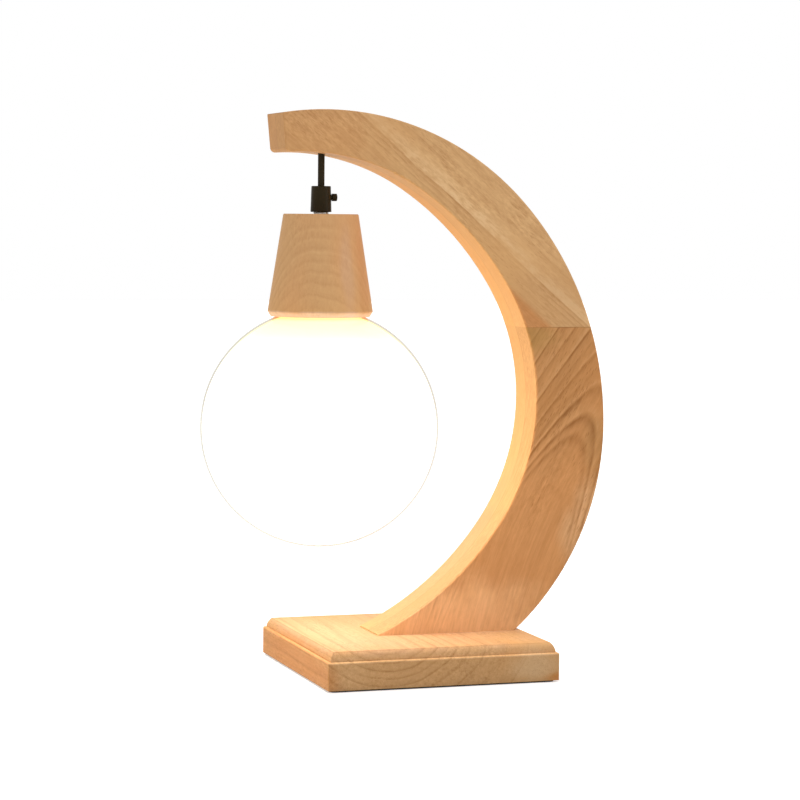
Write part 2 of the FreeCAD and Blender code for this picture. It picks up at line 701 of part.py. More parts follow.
def grip_screw():
    """Slotted side screw that clamps the cord."""
    along = Vector(1, 0, 0)
    tip = Vector(PENDANT_X + CORD_RADIUS + SLIP_GAP, 0, grip_screw_z())
    head_x = PENDANT_X + GRIP_FOOT_RADIUS + GRIP_SCREW_NECK
    shank = cylinder(GRIP_SCREW_RADIUS, head_x - tip.x, tip, along)
    head = cylinder(GRIP_SCREW_HEAD_RADIUS, GRIP_SCREW_HEAD, Vector(head_x, 0, tip.z), along)
    slot_x = head_x + GRIP_SCREW_HEAD - GRIP_SCREW_SLOT
    slot = block((slot_x, slot_x + GRIP_SCREW_HEAD),
                 (-GRIP_SCREW_SLOT / 2, GRIP_SCREW_SLOT / 2),
                 (tip.z - GRIP_SCREW_HEAD_RADIUS, tip.z + GRIP_SCREW_HEAD_RADIUS))
    return shank.fuse(head).cut(slot).removeSplitter()


def nipple():
    low = HOLDER_TOP - HOLDER_BOSS_HEIGHT
    high = GRIP_FOOT + NIPPLE_ENTRY
    bar = cylinder(NIPPLE_RADIUS, high - low, Vector(PENDANT_X, 0, low))
    bar = bar.makeChamfer(NIPPLE_CHAMFER, edges_where(bar, lambda box: box.ZLength < NIPPLE_CHAMFER))
    return bar.cut(cylinder(NIPPLE_BORE, high - low, Vector(PENDANT_X, 0, low)))


def cup():
    """Turned wooden cup: a hollow cone with a bevelled lower edge."""
    hollow_top = CUP_TOP_RADIUS + (CUP_FOOT_RADIUS - CUP_TOP_RADIUS) * CUP_TOP_WALL / CUP_HEIGHT - CUP_WALL
    shoulder = FLANGE_FOOT + HOLDER_FLANGE
    body = turned([
        (NIPPLE_RADIUS + SCREW_GAP, CUP_TOP),
        (CUP_TOP_RADIUS - CUP_EDGE, CUP_TOP),
        (CUP_TOP_RADIUS, CUP_TOP - CUP_EDGE),
        (CUP_FOOT_RADIUS, CUP_WIDEST),
        (CUP_FOOT_RADIUS - CUP_BEVEL_WIDTH, CUP_MOUTH),
        (CUP_BORE, CUP_MOUTH),
        (CUP_BORE, shoulder),
        (hollow_top, CUP_CEILING),
        (NIPPLE_RADIUS + SCREW_GAP, CUP_CEILING),
    ])
    return body


def cup_washer():
    return ring(WASHER_RADIUS, NIPPLE_RADIUS + SCREW_GAP, CUP_CEILING - WASHER_THICKNESS, CUP_CEILING, PENDANT_X)


def lock_nut():
    base = Vector(PENDANT_X, 0, NUT_FOOT)
    corner_radius = NUT_ACROSS_FLATS / 2 / math.cos(math.pi / 6)
    return hexagon(corner_radius, NUT_HEIGHT, base).cut(cylinder(NIPPLE_RADIUS + GLUE_GAP, NUT_HEIGHT, base))


def holder_cap():
    """Domed top of the lampholder, threaded on the nipple."""
    bore = NIPPLE_RADIUS + GLUE_GAP
    return turned([
        (bore, HOLDER_TOP),
        (HOLDER_BOSS_RADIUS, HOLDER_TOP),
        (HOLDER_BOSS_RADIUS, DOME_TOP),
        (HOLDER_DOME_TOP_RADIUS, DOME_TOP),
        (HOLDER_RADIUS, DOME_FOOT),
        (HOLDER_RADIUS - HOLDER_WALL, DOME_FOOT),
        (HOLDER_DOME_TOP_RADIUS - HOLDER_WALL, DOME_TOP - HOLDER_WALL),
        (bore, DOME_TOP - HOLDER_WALL),
    ])


def holder_body():
    """Lampholder's body: floor, flange and threaded skirt round the contact shell."""
    bore = SHELL_RADIUS + GLUE_GAP
    return turned([
        (0, DOME_FOOT),
        (HOLDER_RADIUS, DOME_FOOT),
        (HOLDER_RADIUS, FLANGE_FOOT + HOLDER_FLANGE),
        (HOLDER_FLANGE_RADIUS, FLANGE_FOOT + HOLDER_FLANGE),
        (HOLDER_FLANGE_RADIUS, FLANGE_FOOT),
        (HOLDER_RADIUS, FLANGE_FOOT),
        (HOLDER_RADIUS, SKIRT_FOOT),
        (bore, SKIRT_FOOT),
        (bore, SHELL_TOP),
        (0, SHELL_TOP),
    ])


def holder_shell():
    """Screw shell, with a lip turned in at its top."""
    inner = SHELL_RADIUS - SHELL_WALL
    return turned([
        (SHELL_RADIUS, SHELL_TOP),
        (SHELL_RADIUS, SHELL_TOP - SHELL_HEIGHT),
        (inner, SHELL_TOP - SHELL_HEIGHT),
        (inner, SHELL_TOP - SHELL_WALL),
        (inner - SHELL_LIP, SHELL_TOP - SHELL_WALL),
        (inner - SHELL_LIP, SHELL_TOP),
    ])


def centre_contact():
    """Sprung tongue on the holder's floor."""
    half = CONTACT_REACH / 2
    thickness = CONTACT_THICKNESS
    dip = SHELL_TOP - CONTACT_RISE
    face = outline([
        (PENDANT_X - CONTACT_REACH, SHELL_TOP),
        (PENDANT_X - CONTACT_REACH, SHELL_TOP - thickness),
        (PENDANT_X - half, SHELL_TOP - thickness),
        (PENDANT_X, dip - thickness),
        (PENDANT_X + half, dip - thickness),
        (PENDANT_X + half, dip),
        (PENDANT_X, dip),
        (PENDANT_X - half, SHELL_TOP),
    ])
    return moved(face, 0, -CONTACT_WIDTH / 2).extrude(Vector(0, CONTACT_WIDTH, 0))


def shade_ring():
    """Notched ring on the holder's skirt, which clamps the gallery to the flange."""
    inner = HOLDER_RADIUS + GLUE_GAP
    outer = inner + SHADE_RING_WALL
    body = ring(outer, inner, DISC_FOOT - SHADE_RING_HEIGHT, DISC_FOOT, PENDANT_X)
    notches = []
    for k in range(SHADE_RING_NOTCHES):
        angle = 2 * math.pi * k / SHADE_RING_NOTCHES
        place = Vector(PENDANT_X + outer * math.cos(angle), outer * math.sin(angle),
                       DISC_FOOT - SHADE_RING_HEIGHT)
        notches.append(cylinder(SHADE_RING_NOTCH, SHADE_RING_HEIGHT, place))
    return body.cut(notches)


def globe_gallery():
    """Flat disc on the holder's flange with a threaded wall round the globe's neck."""
    return turned([
        (HOLDER_RADIUS + SCREW_GAP, FLANGE_FOOT),
        (GALLERY_RADIUS, FLANGE_FOOT),
        (GALLERY_RADIUS, GALLERY_FOOT),
        (GALLERY_BORE, GALLERY_FOOT),
        (GALLERY_BORE, DISC_FOOT),
        (HOLDER_RADIUS + SCREW_GAP, DISC_FOOT),
    ])


# ---------------------------------------------------------------- bulb

def bulb_cap():
    return turned([
        (0, BULB_TIP),
        (BULB_CONTACT_RADIUS, BULB_TIP),
        (BULB_CONTACT_RADIUS, BULB_CAP_TOP),
        (BULB_CAP_RADIUS, BULB_CAP_TOP - BULB_CAP_CONE),
        (BULB_CAP_RADIUS, BULB_CAP_FOOT),
        (0, BULB_CAP_FOOT),
    ])


def bulb_housing():
    rim = BULB_CAP_FOOT - BULB_HOUSING
    return turned([
        (0, BULB_CAP_FOOT),
        (BULB_NECK_RADIUS, BULB_CAP_FOOT),
        (BULB_RADIUS, rim),
        (BULB_RADIUS - BULB_DOME_WALL, rim),
        (0, rim),
    ])


def bulb_dome():
    """Thin dome below the housing, the lower part of a squashed ball."""
    rim = BULB_CAP_FOOT - BULB_HOUSING
    depth = BULB_LENGTH - BULB_HOUSING

    def dome(radius, drop):
        sphere_radius = (radius**2 + drop**2) / (2 * drop)
        centre = rim - drop + sphere_radius
        ball = Part.makeSphere(sphere_radius, Vector(PENDANT_X, 0, centre))
        return ball.common(cylinder(BULB_RADIUS * 2, depth, Vector(PENDANT_X, 0, rim - depth)))

    outside = dome(BULB_RADIUS, depth)
    inside = dome(BULB_RADIUS - BULB_DOME_WALL, depth - BULB_DOME_WALL)
    return outside.cut(inside)


# ---------------------------------------------------------------- globe

def lip_rubber():
    return ring(NECK_RADIUS - SLIP_GAP, NECK_RADIUS - RUBBER_WALL, NECK_TOP, RUBBER_TOP, PENDANT_X)


def globe():
    """Opal ball, open at the top, with the fillet that leads into its neck."""
    centre = Vector(PENDANT_X, 0, GLOBE_Z)
    neck_length = NECK_TOP - GLOBE_Z
    outside = Part.makeSphere(GLOBE_RADIUS, centre).fuse(cylinder(NECK_RADIUS, neck_length, centre))
    outside = outside.removeSplitter()
    shoulder = GLOBE_Z + math.sqrt(GLOBE_RADIUS**2 - NECK_RADIUS**2)
    seam = edges_where(outside, lambda box: flat_box(box.ZMin, box.ZMax, shoulder))
    outside = outside.makeFillet(NECK_FILLET, seam)
    inside = Part.makeSphere(GLOBE_RADIUS - GLOBE_WALL, centre)
    inside = inside.fuse(cylinder(NECK_RADIUS - NECK_WALL, neck_length, centre))
    return outside.cut(inside).cut(cylinder(GLOBE_RADIUS, neck_length, Vector(PENDANT_X, 0, NECK_FOOT)))


def globe_neck():
    """Straight neck, blown in one piece with the ball and threaded for the gallery."""
    return ring(NECK_RADIUS, NECK_RADIUS - NECK_WALL, NECK_FOOT, NECK_TOP, PENDANT_X)


# ---------------------------------------------------------------- build

def main():
    front = lamination(-1)
    back = lamination(1)
    parts = {
        "base_board": base_board(),
        "base_pad": base_pad(),
        "inlet_bush": inlet_bush(),
        "foot_screws": foot_screws(),
        "terminal_block": terminal_block(),
        "terminal_screws": terminal_screws(),
        "terminal_fixing": terminal_fixing(),
        "arch_lower_front": above_joint(front, False),
        "arch_lower_back": above_joint(back, False),
        "arch_upper_front": above_joint(front, True),
        "arch_upper_back": above_joint(back, True),
        "joint_dowels": joint_dowels(),
        "arch_lead": arch_lead(),
        "stop_sleeve": stop_sleeve(),
        "free_cord": free_cord(),
        "cord_grip": cord_grip(),
        "grip_screw": grip_screw(),
        "nipple": nipple(),
        "holder_lead": holder_lead(),
        "cup": cup(),
        "cup_washer": cup_washer(),
        "lock_nut": lock_nut(),
        "holder_cap": holder_cap(),
        "holder_body": holder_body(),
        "holder_shell": holder_shell(),
        "centre_contact": centre_contact(),
        "shade_ring": shade_ring(),
        "globe_gallery": globe_gallery(),
        "bulb_cap": bulb_cap(),
        "bulb_housing": bulb_housing(),
        "bulb_dome": bulb_dome(),
        "lip_rubber": lip_rubber(),
        "globe": globe(),
        "globe_neck": globe_neck(),
    }
    for name, shape in parts.items():
        print(f"{name}: {len(shape.Solids)} solid(s), valid {shape.isValid()}, {shape.Volume:.0f} mm3")
        save(name, shape)


main()
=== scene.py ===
import math

import bpy
from mathutils import Matrix, Vector


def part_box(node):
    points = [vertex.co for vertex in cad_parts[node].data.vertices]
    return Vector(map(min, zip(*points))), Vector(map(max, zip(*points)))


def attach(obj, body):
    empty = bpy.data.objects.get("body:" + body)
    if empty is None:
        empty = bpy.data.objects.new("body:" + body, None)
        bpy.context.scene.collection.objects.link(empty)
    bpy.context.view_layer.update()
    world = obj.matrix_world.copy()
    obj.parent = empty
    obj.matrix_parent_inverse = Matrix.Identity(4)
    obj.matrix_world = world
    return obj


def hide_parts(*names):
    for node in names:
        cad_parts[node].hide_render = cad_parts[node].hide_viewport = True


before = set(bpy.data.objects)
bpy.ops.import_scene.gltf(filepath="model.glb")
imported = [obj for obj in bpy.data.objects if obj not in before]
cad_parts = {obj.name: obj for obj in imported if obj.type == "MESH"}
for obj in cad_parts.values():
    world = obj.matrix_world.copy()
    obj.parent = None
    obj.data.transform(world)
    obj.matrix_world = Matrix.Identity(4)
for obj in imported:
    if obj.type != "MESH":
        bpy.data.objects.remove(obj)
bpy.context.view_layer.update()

# Wooden crescent-arch lamp with a hanging opal globe. Lengths are in metres, in the frame of
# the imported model; patterns in wood, metal and plastic are worked in millimetres.

MM = 0.001
TO_MILLIMETRES = (1.0 / MM, 1.0 / MM, 1.0 / MM)

# Camera: its place, its turns in radians, and its lens and sensor in millimetres
CAMERA_PLACE = Vector((-0.525744, -1.569975, 0.286844))
CAMERA_YAW = -0.3195363
CAMERA_PITCH = 0.0695401
CAMERA_ROLL = 0.0094044
CAMERA_LENS = 117.52
SENSOR_WIDTH = 36.0
SIGHT_END = 50.0

# Light and floor
WHITE = (1.0, 1.0, 1.0, 1.0)
SKY_FROM_SIDE = 0.49
SKY_FROM_ABOVE = 1.42
KEY_POWER = 6.5
KEY_SIZE = 0.9
KEY_PLACE = Vector((2.0, -1.45, 0.85))
KEY_AIM = Vector((0.0, 0.0, 0.2))
KEY_COLOUR = (1.0, 0.985, 0.96)
FLOOR_SIZE = 14.0
FLOOR_LIFT = 0.42
FLOOR_PALE = (0.86, 0.86, 0.855, 1.0)
FLOOR_SHADE = (0.83, 0.83, 0.825, 1.0)

# Places in the wood, in millimetres: the joint of the arch's two segments, the front of its
# boards, the front and the top of the base, and the arch's toe on the base
JOINT_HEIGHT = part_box("arch_upper_front")[0].z / MM
BOARD_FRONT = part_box("arch_lower_front")[0].y / MM
BASE_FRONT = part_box("base_board")[0].y / MM
BASE_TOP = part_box("base_board")[1].z / MM
TOE = (-26.5, 0.0, 24.3)

# Thread of the nipple
THREAD_PITCH = 0.001
THREAD_DEPTH = 0.00055
THREAD_SIDES = 48
RIDGE_SIZE = 0.0005
NIPPLE_BORE = 0.0029
SMOOTH_BELOW = math.radians(35.0)

# Boards of the arch, the base and the cup, and the dowels: a point of the pith, in millimetres,
# and the way that the fibres run
LOWER_FRONT_PITH = Vector((105.9, BOARD_FRONT - 44.6, 141.9))
LOWER_FRONT_FIBRE = Vector((0.469, 0.0, 0.883))
LOWER_BACK_PITH = Vector((130.0, 62.0, 60.0))
LOWER_BACK_FIBRE = Vector((0.35, 0.02, 0.94))
UPPER_FRONT_PITH = Vector((70.7, BOARD_FRONT - 46.0, 84.3))
UPPER_FRONT_FIBRE = Vector((0.766, 0.0, -0.643))
UPPER_BACK_PITH = Vector((90.0, 58.0, 70.0))
UPPER_BACK_FIBRE = Vector((0.74, 0.03, -0.67))
BASE_PITH = Vector((-36.5, 0.0, 61.0))
BASE_FIBRE = Vector((0.0, 1.0, 0.0))
CUP_PITH = Vector((-56.1, 11.5, 250.0))
CUP_FIBRE = Vector((-0.025, -0.083, 1.0))
DOWEL_PITH = Vector((80.0, 0.0, 210.0))
DOWEL_FIBRE = Vector((0.0, 0.0, 1.0))

# Rings that stand out: distance from the pith line in millimetres, how dark the ring is, and
# how pale the new wood is that follows it
LOWER_FRONT_RINGS = [(45.5, 0.60, 0.15), (46.9, 0.85, 0.35), (49.2, 1.00, 0.55), (51.0, 0.35, 0.20),
                     (53.6, 0.90, 0.55), (56.2, 0.30, 0.20), (59.2, 0.85, 0.55), (64.5, 0.50, 0.35),
                     (70.5, 0.70, 0.40), (78.0, 0.45, 0.20)]
UPPER_FRONT_RINGS = [(128.5, 0.25, 0.10), (133.0, 0.35, 0.20), (136.0, 0.30, 0.30), (138.4, 0.50, 0.80),
                     (152.0, 0.30, 0.15), (163.0, 0.20, 0.10), (176.0, 0.25, 0.10)]
BASE_RINGS = [(38.6, 0.45, 0.15), (43.5, 0.55, 0.20), (48.6, 0.75, 0.25), (53.4, 0.45, 0.15),
              (58.3, 0.65, 0.20), (65.0, 0.35, 0.15), (74.0, 0.40, 0.15), (86.0, 0.30, 0.10),
              (99.0, 0.35, 0.10)]
CUP_RINGS = [(31.6, 0.18, 0.10), (33.8, 0.30, 0.22), (35.3, 0.24, 0.14), (37.0, 0.36, 0.26),
             (38.8, 0.32, 0.16), (40.4, 0.24, 0.18), (42.1, 0.34, 0.18), (44.0, 0.26, 0.12),
             (46.0, 0.28, 0.10)]

# Millimetres over which a ring ends, the least between two rings, and what lies before the first
# ring that stands out and after the last
RING_FALL = 0.25
RING_GAP = 0.3
RING_LEAD = 1.0
RING_TAIL = 8.0

# Millimetres over which the heartwood's limit and its start, the lean of the fibres and the
# painted light on the base's slopes below its top come in
HEART_EDGE = 5.0
HEART_START = 12.0
LEAN_START = 45.0
SLOPE_FROM = 0.2
SLOPE_TO = 0.8

# How much the years differ in width, and over how many years
YEAR_SPREAD = 3.0
YEAR_PACE = 0.37

# Changes of each pattern in the wood per millimetre, twice across the fibres and once along them
PITH_WAVER = (0.035, 0.035, 0.014)
RING_BREAKS = (0.16, 0.16, 0.035)
FIBRES = (0.55, 0.55, 0.020)
FINE_FIBRES = (2.4, 2.4, 0.11)
FLECKS = (0.60, 0.60, 0.18)
VESSELS = (1.1, 1.1, 0.15)
LIVELY_PLACES = (0.045, 0.045, 0.02)
PORE_PLACES = (0.06, 0.06, 0.02)
BLUSH_ZONES = (0.022, 0.022, 0.007)

# A year's tone from its start to its end, and what the pale new wood after a ring, the end
# grain and a pore do to the colour
YEAR_TONE = [(0.0, 0.25), (0.12, 0.04), (0.45, 0.0), (0.80, 0.45), (0.92, 1.0), (1.0, 0.25)]
NEW_WOOD_TINT = (1.06, 1.16, 1.34)
END_GRAIN_TINT = (0.76, 0.77, 0.82)
PORE_DEPTH = 0.7

# How much of the rings a quiet face still shows
QUIET_FACE = 0.25

# Opal glass: its tones, with a painted warm glow in its colour near the neck, its glow from its foot
# to its neck, the heights of those two, and its thin dark edge
OPAL_CLEAN = (0.93, 0.91, 0.85, 1.0)
OPAL_SMUDGED = (0.90, 0.875, 0.81, 1.0)
OPAL_NECK_PAINTED_GLOW = (0.92, 0.89, 0.68, 1.0)
GLOW = [(0.0, (0.95, 0.88, 0.76)), (0.25, (0.82, 0.75, 0.64)), (0.50, (0.58, 0.52, 0.43)),
        (0.75, (0.42, 0.36, 0.27)), (0.86, (0.32, 0.27, 0.13)), (0.89, (0.31, 0.25, 0.058)),
        (0.925, (0.29, 0.22, 0.034)), (0.965, (0.26, 0.19, 0.022)), (0.982, (0.24, 0.135, 0.038)),
        (1.0, (0.22, 0.075, 0.055))]
GLOW_FOOT = 0.079
GLOW_TOP = 0.2265
GLOW_STRENGTH = 6.0
EDGE_START = 0.75
EDGE_END = 0.84
EDGE_DEPTH = 0.98
EDGE_GLOW = (0.006, 0.005, 0.003, 1.0)
EDGE_FOOT = (0.30, 0.28, 0.22, 1.0)
EDGE_NECK = (0.51, 0.49, 0.41, 1.0)

# Frosted bulb
BULB_GLOW = (1.0, 0.92, 0.78, 1.0)
BULB_GLOW_SMUDGED = (0.92, 0.82, 0.66, 1.0)
BULB_FROST = (0.92, 0.90, 0.85, 1.0)
BULB_FROST_SPECK = (0.88, 0.85, 0.79, 1.0)


# ---------------------------------------------------------------- node helpers

def place(tree, kind, sockets, **settings):
    """One node, its settings made and each of its named or numbered sockets linked or set."""
    node = tree.nodes.new(kind)
    for name, value in settings.items():
        setattr(node, name, value)
    for name, value in sockets.items():
        if isinstance(value, bpy.types.NodeSocket):
            tree.links.new(value, node.inputs[name])
        else:
            node.inputs[name].default_value = value
    return node


def reckon(tree, operation, *values, clamp=False):
    """The value that a Math node gives."""
    node = place(tree, "ShaderNodeMath", dict(enumerate(values)), operation=operation, use_clamp=clamp)
    return node.outputs["Value"]


def reckon_vector(tree, operation, *values, gives="Vector"):
    """What a Vector Math node gives."""
    node = place(tree, "ShaderNodeVectorMath", dict(enumerate(values)), operation=operation)
    return node.outputs[gives]


def along_axis(tree, vector, axis):
    """The X, Y or Z of a vector."""
    return place(tree, "ShaderNodeSeparateXYZ", {"Vector": vector}).outputs[axis]


def noise(tree, vector, scale=1.0, detail=3.0, roughness=0.5, gives="Fac"):
    node = place(tree, "ShaderNodeTexNoise",
                 {"Vector": vector, "Scale": scale, "Detail": detail, "Roughness": roughness})
    return node.outputs[gives]


def wood_noise(tree, vector, pattern, detail, roughness=0.5):
    """Noise in a board's coordinates, at the pattern's changes per millimetre."""
    return noise(tree, reckon_vector(tree, "MULTIPLY", vector, pattern), 1.0, detail, roughness)


def centred(tree, value):
    """A pattern from 0 to 1, brought to lie about 0."""
    return reckon(tree, "SUBTRACT", value, 0.5)


def step_between(tree, value, start, end, low=0.0, high=1.0):
    """Low before start, high after end, and smooth between them."""
    node = place(tree, "ShaderNodeMapRange",
                 {"Value": value, "From Min": start, "From Max": end, "To Min": low, "To Max": high},
                 interpolation_type="SMOOTHSTEP")
    return node.outputs["Result"]


def ramp(tree, value, stops):
    """The colour of a ramp whose stops are pairs of a position and a colour or a grey."""
    node = place(tree, "ShaderNodeValToRGB", {"Fac": value})
    band = node.color_ramp
    shades = [(position, shade if isinstance(shade, tuple) else (shade, shade, shade))
              for position, shade in stops]
    ends = (band.elements[0], band.elements[1])
    for element, (position, shade) in zip(ends, (shades[0], shades[-1])):
        element.position = position
        element.color = (*shade, 1.0)
    for position, shade in shades[1:-1]:
        element = band.elements.new(position)
        element.color = (*shade, 1.0)
    return node.outputs["Color"]


def blend_colours(tree, amount, first, second, mode="MIX"):
    node = place(tree, "ShaderNodeMix", {0: amount, 6: first, 7: second},
                 data_type="RGBA", blend_type=mode, clamp_factor=True)
    return node.outputs[2]


def tinted(tree, amount, colour, tint):
    """The colour multiplied by a tint, as far as the amount says."""
    whole = blend_colours(tree, 1.0, colour, (*tint, 1.0), "MULTIPLY")
    return blend_colours(tree, amount, colour, whole)


def new_group(name, inputs, outputs):
    """A node group with named sockets. Gives its tree, what comes in and what goes out."""
    group = bpy.data.node_groups.new(name, "ShaderNodeTree")
    for label, value in inputs.items():
        if isinstance(value, float):
            kind = "NodeSocketFloat"
        elif len(value) == 4:
            kind = "NodeSocketColor"
        else:
            kind = "NodeSocketVector"
        socket = group.interface.new_socket(name=label, in_out="INPUT", socket_type=kind)
        socket.default_value = value
    for label, kind in outputs.items():
        group.interface.new_socket(name=label, in_out="OUTPUT", socket_type=kind)
    comes_in = group.nodes.new("NodeGroupInput").outputs
    goes_out = group.nodes.new("NodeGroupOutput").inputs
    return group, comes_in, goes_out


def group_node(tree, group, sockets):
    return place(tree, "ShaderNodeGroup", sockets, node_tree=group).outputs


def new_material(name, **sockets):
    """A material with its Principled BSDF, whose plain sockets are set. Gives tree and shader too."""
    material = bpy.data.materials.new(name)
    material.use_nodes = True
    tree = material.node_tree
    shader = tree.nodes["Principled BSDF"]
    for label, value in sockets.items():
        shader.inputs[label.replace("_", " ")].default_value = value
    return material, tree, shader


def object_place(tree):
    return tree.nodes.new("ShaderNodeTexCoord").outputs["Object"]


def in_millimetres(tree):
    node = place(tree, "ShaderNodeMapping", {"Vector": object_place(tree), "Scale": TO_MILLIMETRES})
    return node.outputs["Vector"]


def bump(tree, shader, height, distance, strength=1.0):
    node = place(tree, "ShaderNodeBump", {"Height": height, "Distance": distance, "Strength": strength})
    tree.links.new(node.outputs["Normal"], shader.inputs["Normal"])


# ---------------------------------------------------------------- shared patterns

def make_pith_distance():
    """Distance from the pith line, on a tree that tapers and isn't quite round."""
    tree, given, out = new_group("Pith distance", {"Vector": (0.0, 0.0, 0.0), "Taper": 0.1, "Waver": 3.0},
                                 {"Distance": "NodeSocketFloat"})
    along = along_axis(tree, given["Vector"], "Z")
    flat = reckon_vector(tree, "MULTIPLY", given["Vector"], (1.0, 1.0, 0.0))
    across = reckon_vector(tree, "LENGTH", flat, gives="Value")
    slow = wood_noise(tree, given["Vector"], PITH_WAVER, 3.0, 0.45)
    waver = reckon(tree, "MULTIPLY", centred(tree, slow), given["Waver"])
    leaned = reckon(tree, "ADD", across, reckon(tree, "MULTIPLY", along, given["Taper"]))
    tree.links.new(reckon(tree, "MULTIPLY_ADD", waver, 2.0, leaned), out["Distance"])
    return tree


def year_rings(tree, given):
    """Faint rings, a line towards the end of each year; the years differ in width and depth."""
    years = reckon(tree, "DIVIDE", given["Distance"], given["Ring Width"])
    pace = place(tree, "ShaderNodeTexNoise",
                 {"W": reckon(tree, "MULTIPLY_ADD", years, YEAR_PACE, given["Seed"]), "Scale": 1.0,
                  "Detail": 1.0}, noise_dimensions="1D").outputs["Fac"]
    uneven = reckon(tree, "MULTIPLY_ADD", pace, YEAR_SPREAD, years)
    tone = ramp(tree, reckon(tree, "FRACT", uneven), YEAR_TONE)
    year = place(tree, "ShaderNodeTexWhiteNoise", {"W": reckon(tree, "FLOOR", uneven)},
                 noise_dimensions="1D").outputs["Value"]
    return reckon(tree, "MULTIPLY", tone, step_between(tree, year, 0.1, 0.95, 0.1, 1.0))


def ring_lines(tree, given):
    """The faint rings, and the rings that stand out, which break up here and there."""
    breaks = wood_noise(tree, given["Vector"], RING_BREAKS, 3.0, 0.6)
    standing = reckon(tree, "MULTIPLY_ADD", given["Standing Rings"], 2.0, -1.0)
    standing = reckon(tree, "MULTIPLY", standing, step_between(tree, breaks, 0.30, 0.58, 0.45, 1.0))
    line = reckon(tree, "MULTIPLY_ADD", year_rings(tree, given), given["Faint Rings"], standing)
    return reckon(tree, "MULTIPLY", line, given["Quiet"])


def by_quiet(tree, given, quiet, lively):
    """One value on the quiet faces and another on the lively ones."""
    return step_between(tree, given["Quiet"], 0.2, 1.0, quiet, lively)


def fibre_grain(tree, given, fibres, fine, flecks):
    """Streaks along the fibres, and flecks that are stronger in some places than in others."""
    streak = reckon(tree, "MULTIPLY", given["Streak"], by_quiet(tree, given, 2.3, 2.2))
    streaks = reckon(tree, "MULTIPLY", centred(tree, fibres), streak)
    lively = step_between(tree, wood_noise(tree, given["Vector"], LIVELY_PLACES, 2.0), 0.35, 0.62, 0.6, 1.7)
    fleck = reckon(tree, "MULTIPLY", lively, by_quiet(tree, given, 0.9, 1.8))
    coarse = reckon(tree, "MULTIPLY", centred(tree, flecks), fleck)
    speckle = reckon(tree, "MULTIPLY_ADD", centred(tree, fine), 0.8, coarse)
    return reckon(tree, "MULTIPLY_ADD", speckle, given["Fleck"], streaks)


def open_pores(tree, given):
    """Short dark vessels, gathered in some places."""
    vessels = place(tree, "ShaderNodeTexVoronoi",
                    {"Vector": reckon_vector(tree, "MULTIPLY", given["Vector"], VESSELS), "Scale": 1.0,
                     "Randomness": 1.0}).outputs["Distance"]
    places = step_between(tree, wood_noise(tree, given["Vector"], PORE_PLACES, 2.0), 0.40, 0.60)
    pores = reckon(tree, "MULTIPLY", step_between(tree, vessels, 0.12, 0.32, 1.0, 0.0),
                   reckon(tree, "MULTIPLY", places, given["Pores"]))
    return reckon(tree, "MULTIPLY", pores, by_quiet(tree, given, 0.25, 1.0))


def make_board_figure():
    """Faint even rings, the rings that stand out, fibres, flecks, pores and slow changes of tone."""
    tree, given, out = new_group(
        "Board figure",
        {"Vector": (0.0, 0.0, 0.0), "Distance": 50.0, "Standing Rings": 0.5, "End Grain": 0.0,
         "Ring Width": 6.0, "Faint Rings": 0.2, "Line": 0.5, "Streak": 0.4, "Fleck": 0.4, "Pores": 0.5,
         "Seed": 0.0, "Quiet": 1.0, "Pale": (0.7, 0.4, 0.2, 1.0), "Dark": (0.4, 0.2, 0.1, 1.0),
         "Blush": (0.6, 0.3, 0.15, 1.0)},
        {"Color": "NodeSocketColor", "Roughness": "NodeSocketFloat", "Height": "NodeSocketFloat"})
    vector = given["Vector"]
    line = ring_lines(tree, given)
    fibres = wood_noise(tree, vector, FIBRES, 5.0, 0.6)
    fine = wood_noise(tree, vector, FINE_FIBRES, 3.0, 0.6)
    flecks = wood_noise(tree, vector, FLECKS, 4.0, 0.7)
    pores = open_pores(tree, given)

    grain = fibre_grain(tree, given, fibres, fine, flecks)
    tone = reckon(tree, "MULTIPLY_ADD", line, given["Line"], grain)
    tone = reckon(tree, "ADD", tone, 0.30, clamp=True)
    colour = blend_colours(tree, tone, given["Pale"], given["Dark"])
    blush = step_between(tree, wood_noise(tree, vector, BLUSH_ZONES, 2.0), 0.40, 0.68, 0.0, 0.7)
    colour = blend_colours(tree, blush, colour, given["Blush"])
    new_wood = reckon(tree, "MULTIPLY", step_between(tree, line, -0.05, -0.75),
                      step_between(tree, flecks, 0.30, 0.62, 1.0, 0.35))
    colour = tinted(tree, new_wood, colour, NEW_WOOD_TINT)
    colour = blend_colours(tree, reckon(tree, "MULTIPLY", pores, PORE_DEPTH), colour, given["Dark"])
    colour = tinted(tree, given["End Grain"], colour, END_GRAIN_TINT)
    tree.links.new(colour, out["Color"])

    rough = reckon(tree, "MULTIPLY_ADD", fibres, 0.16, 0.42)
    rough = reckon(tree, "MULTIPLY_ADD", given["End Grain"], 0.12, rough)
    tree.links.new(reckon(tree, "MULTIPLY_ADD", pores, 0.2, rough), out["Roughness"])

    relief = reckon(tree, "SUBTRACT", reckon(tree, "MULTIPLY", fine, 0.35), pores)
    tree.links.new(reckon(tree, "MULTIPLY_ADD", line, -0.08, relief), out["Height"])
    return tree


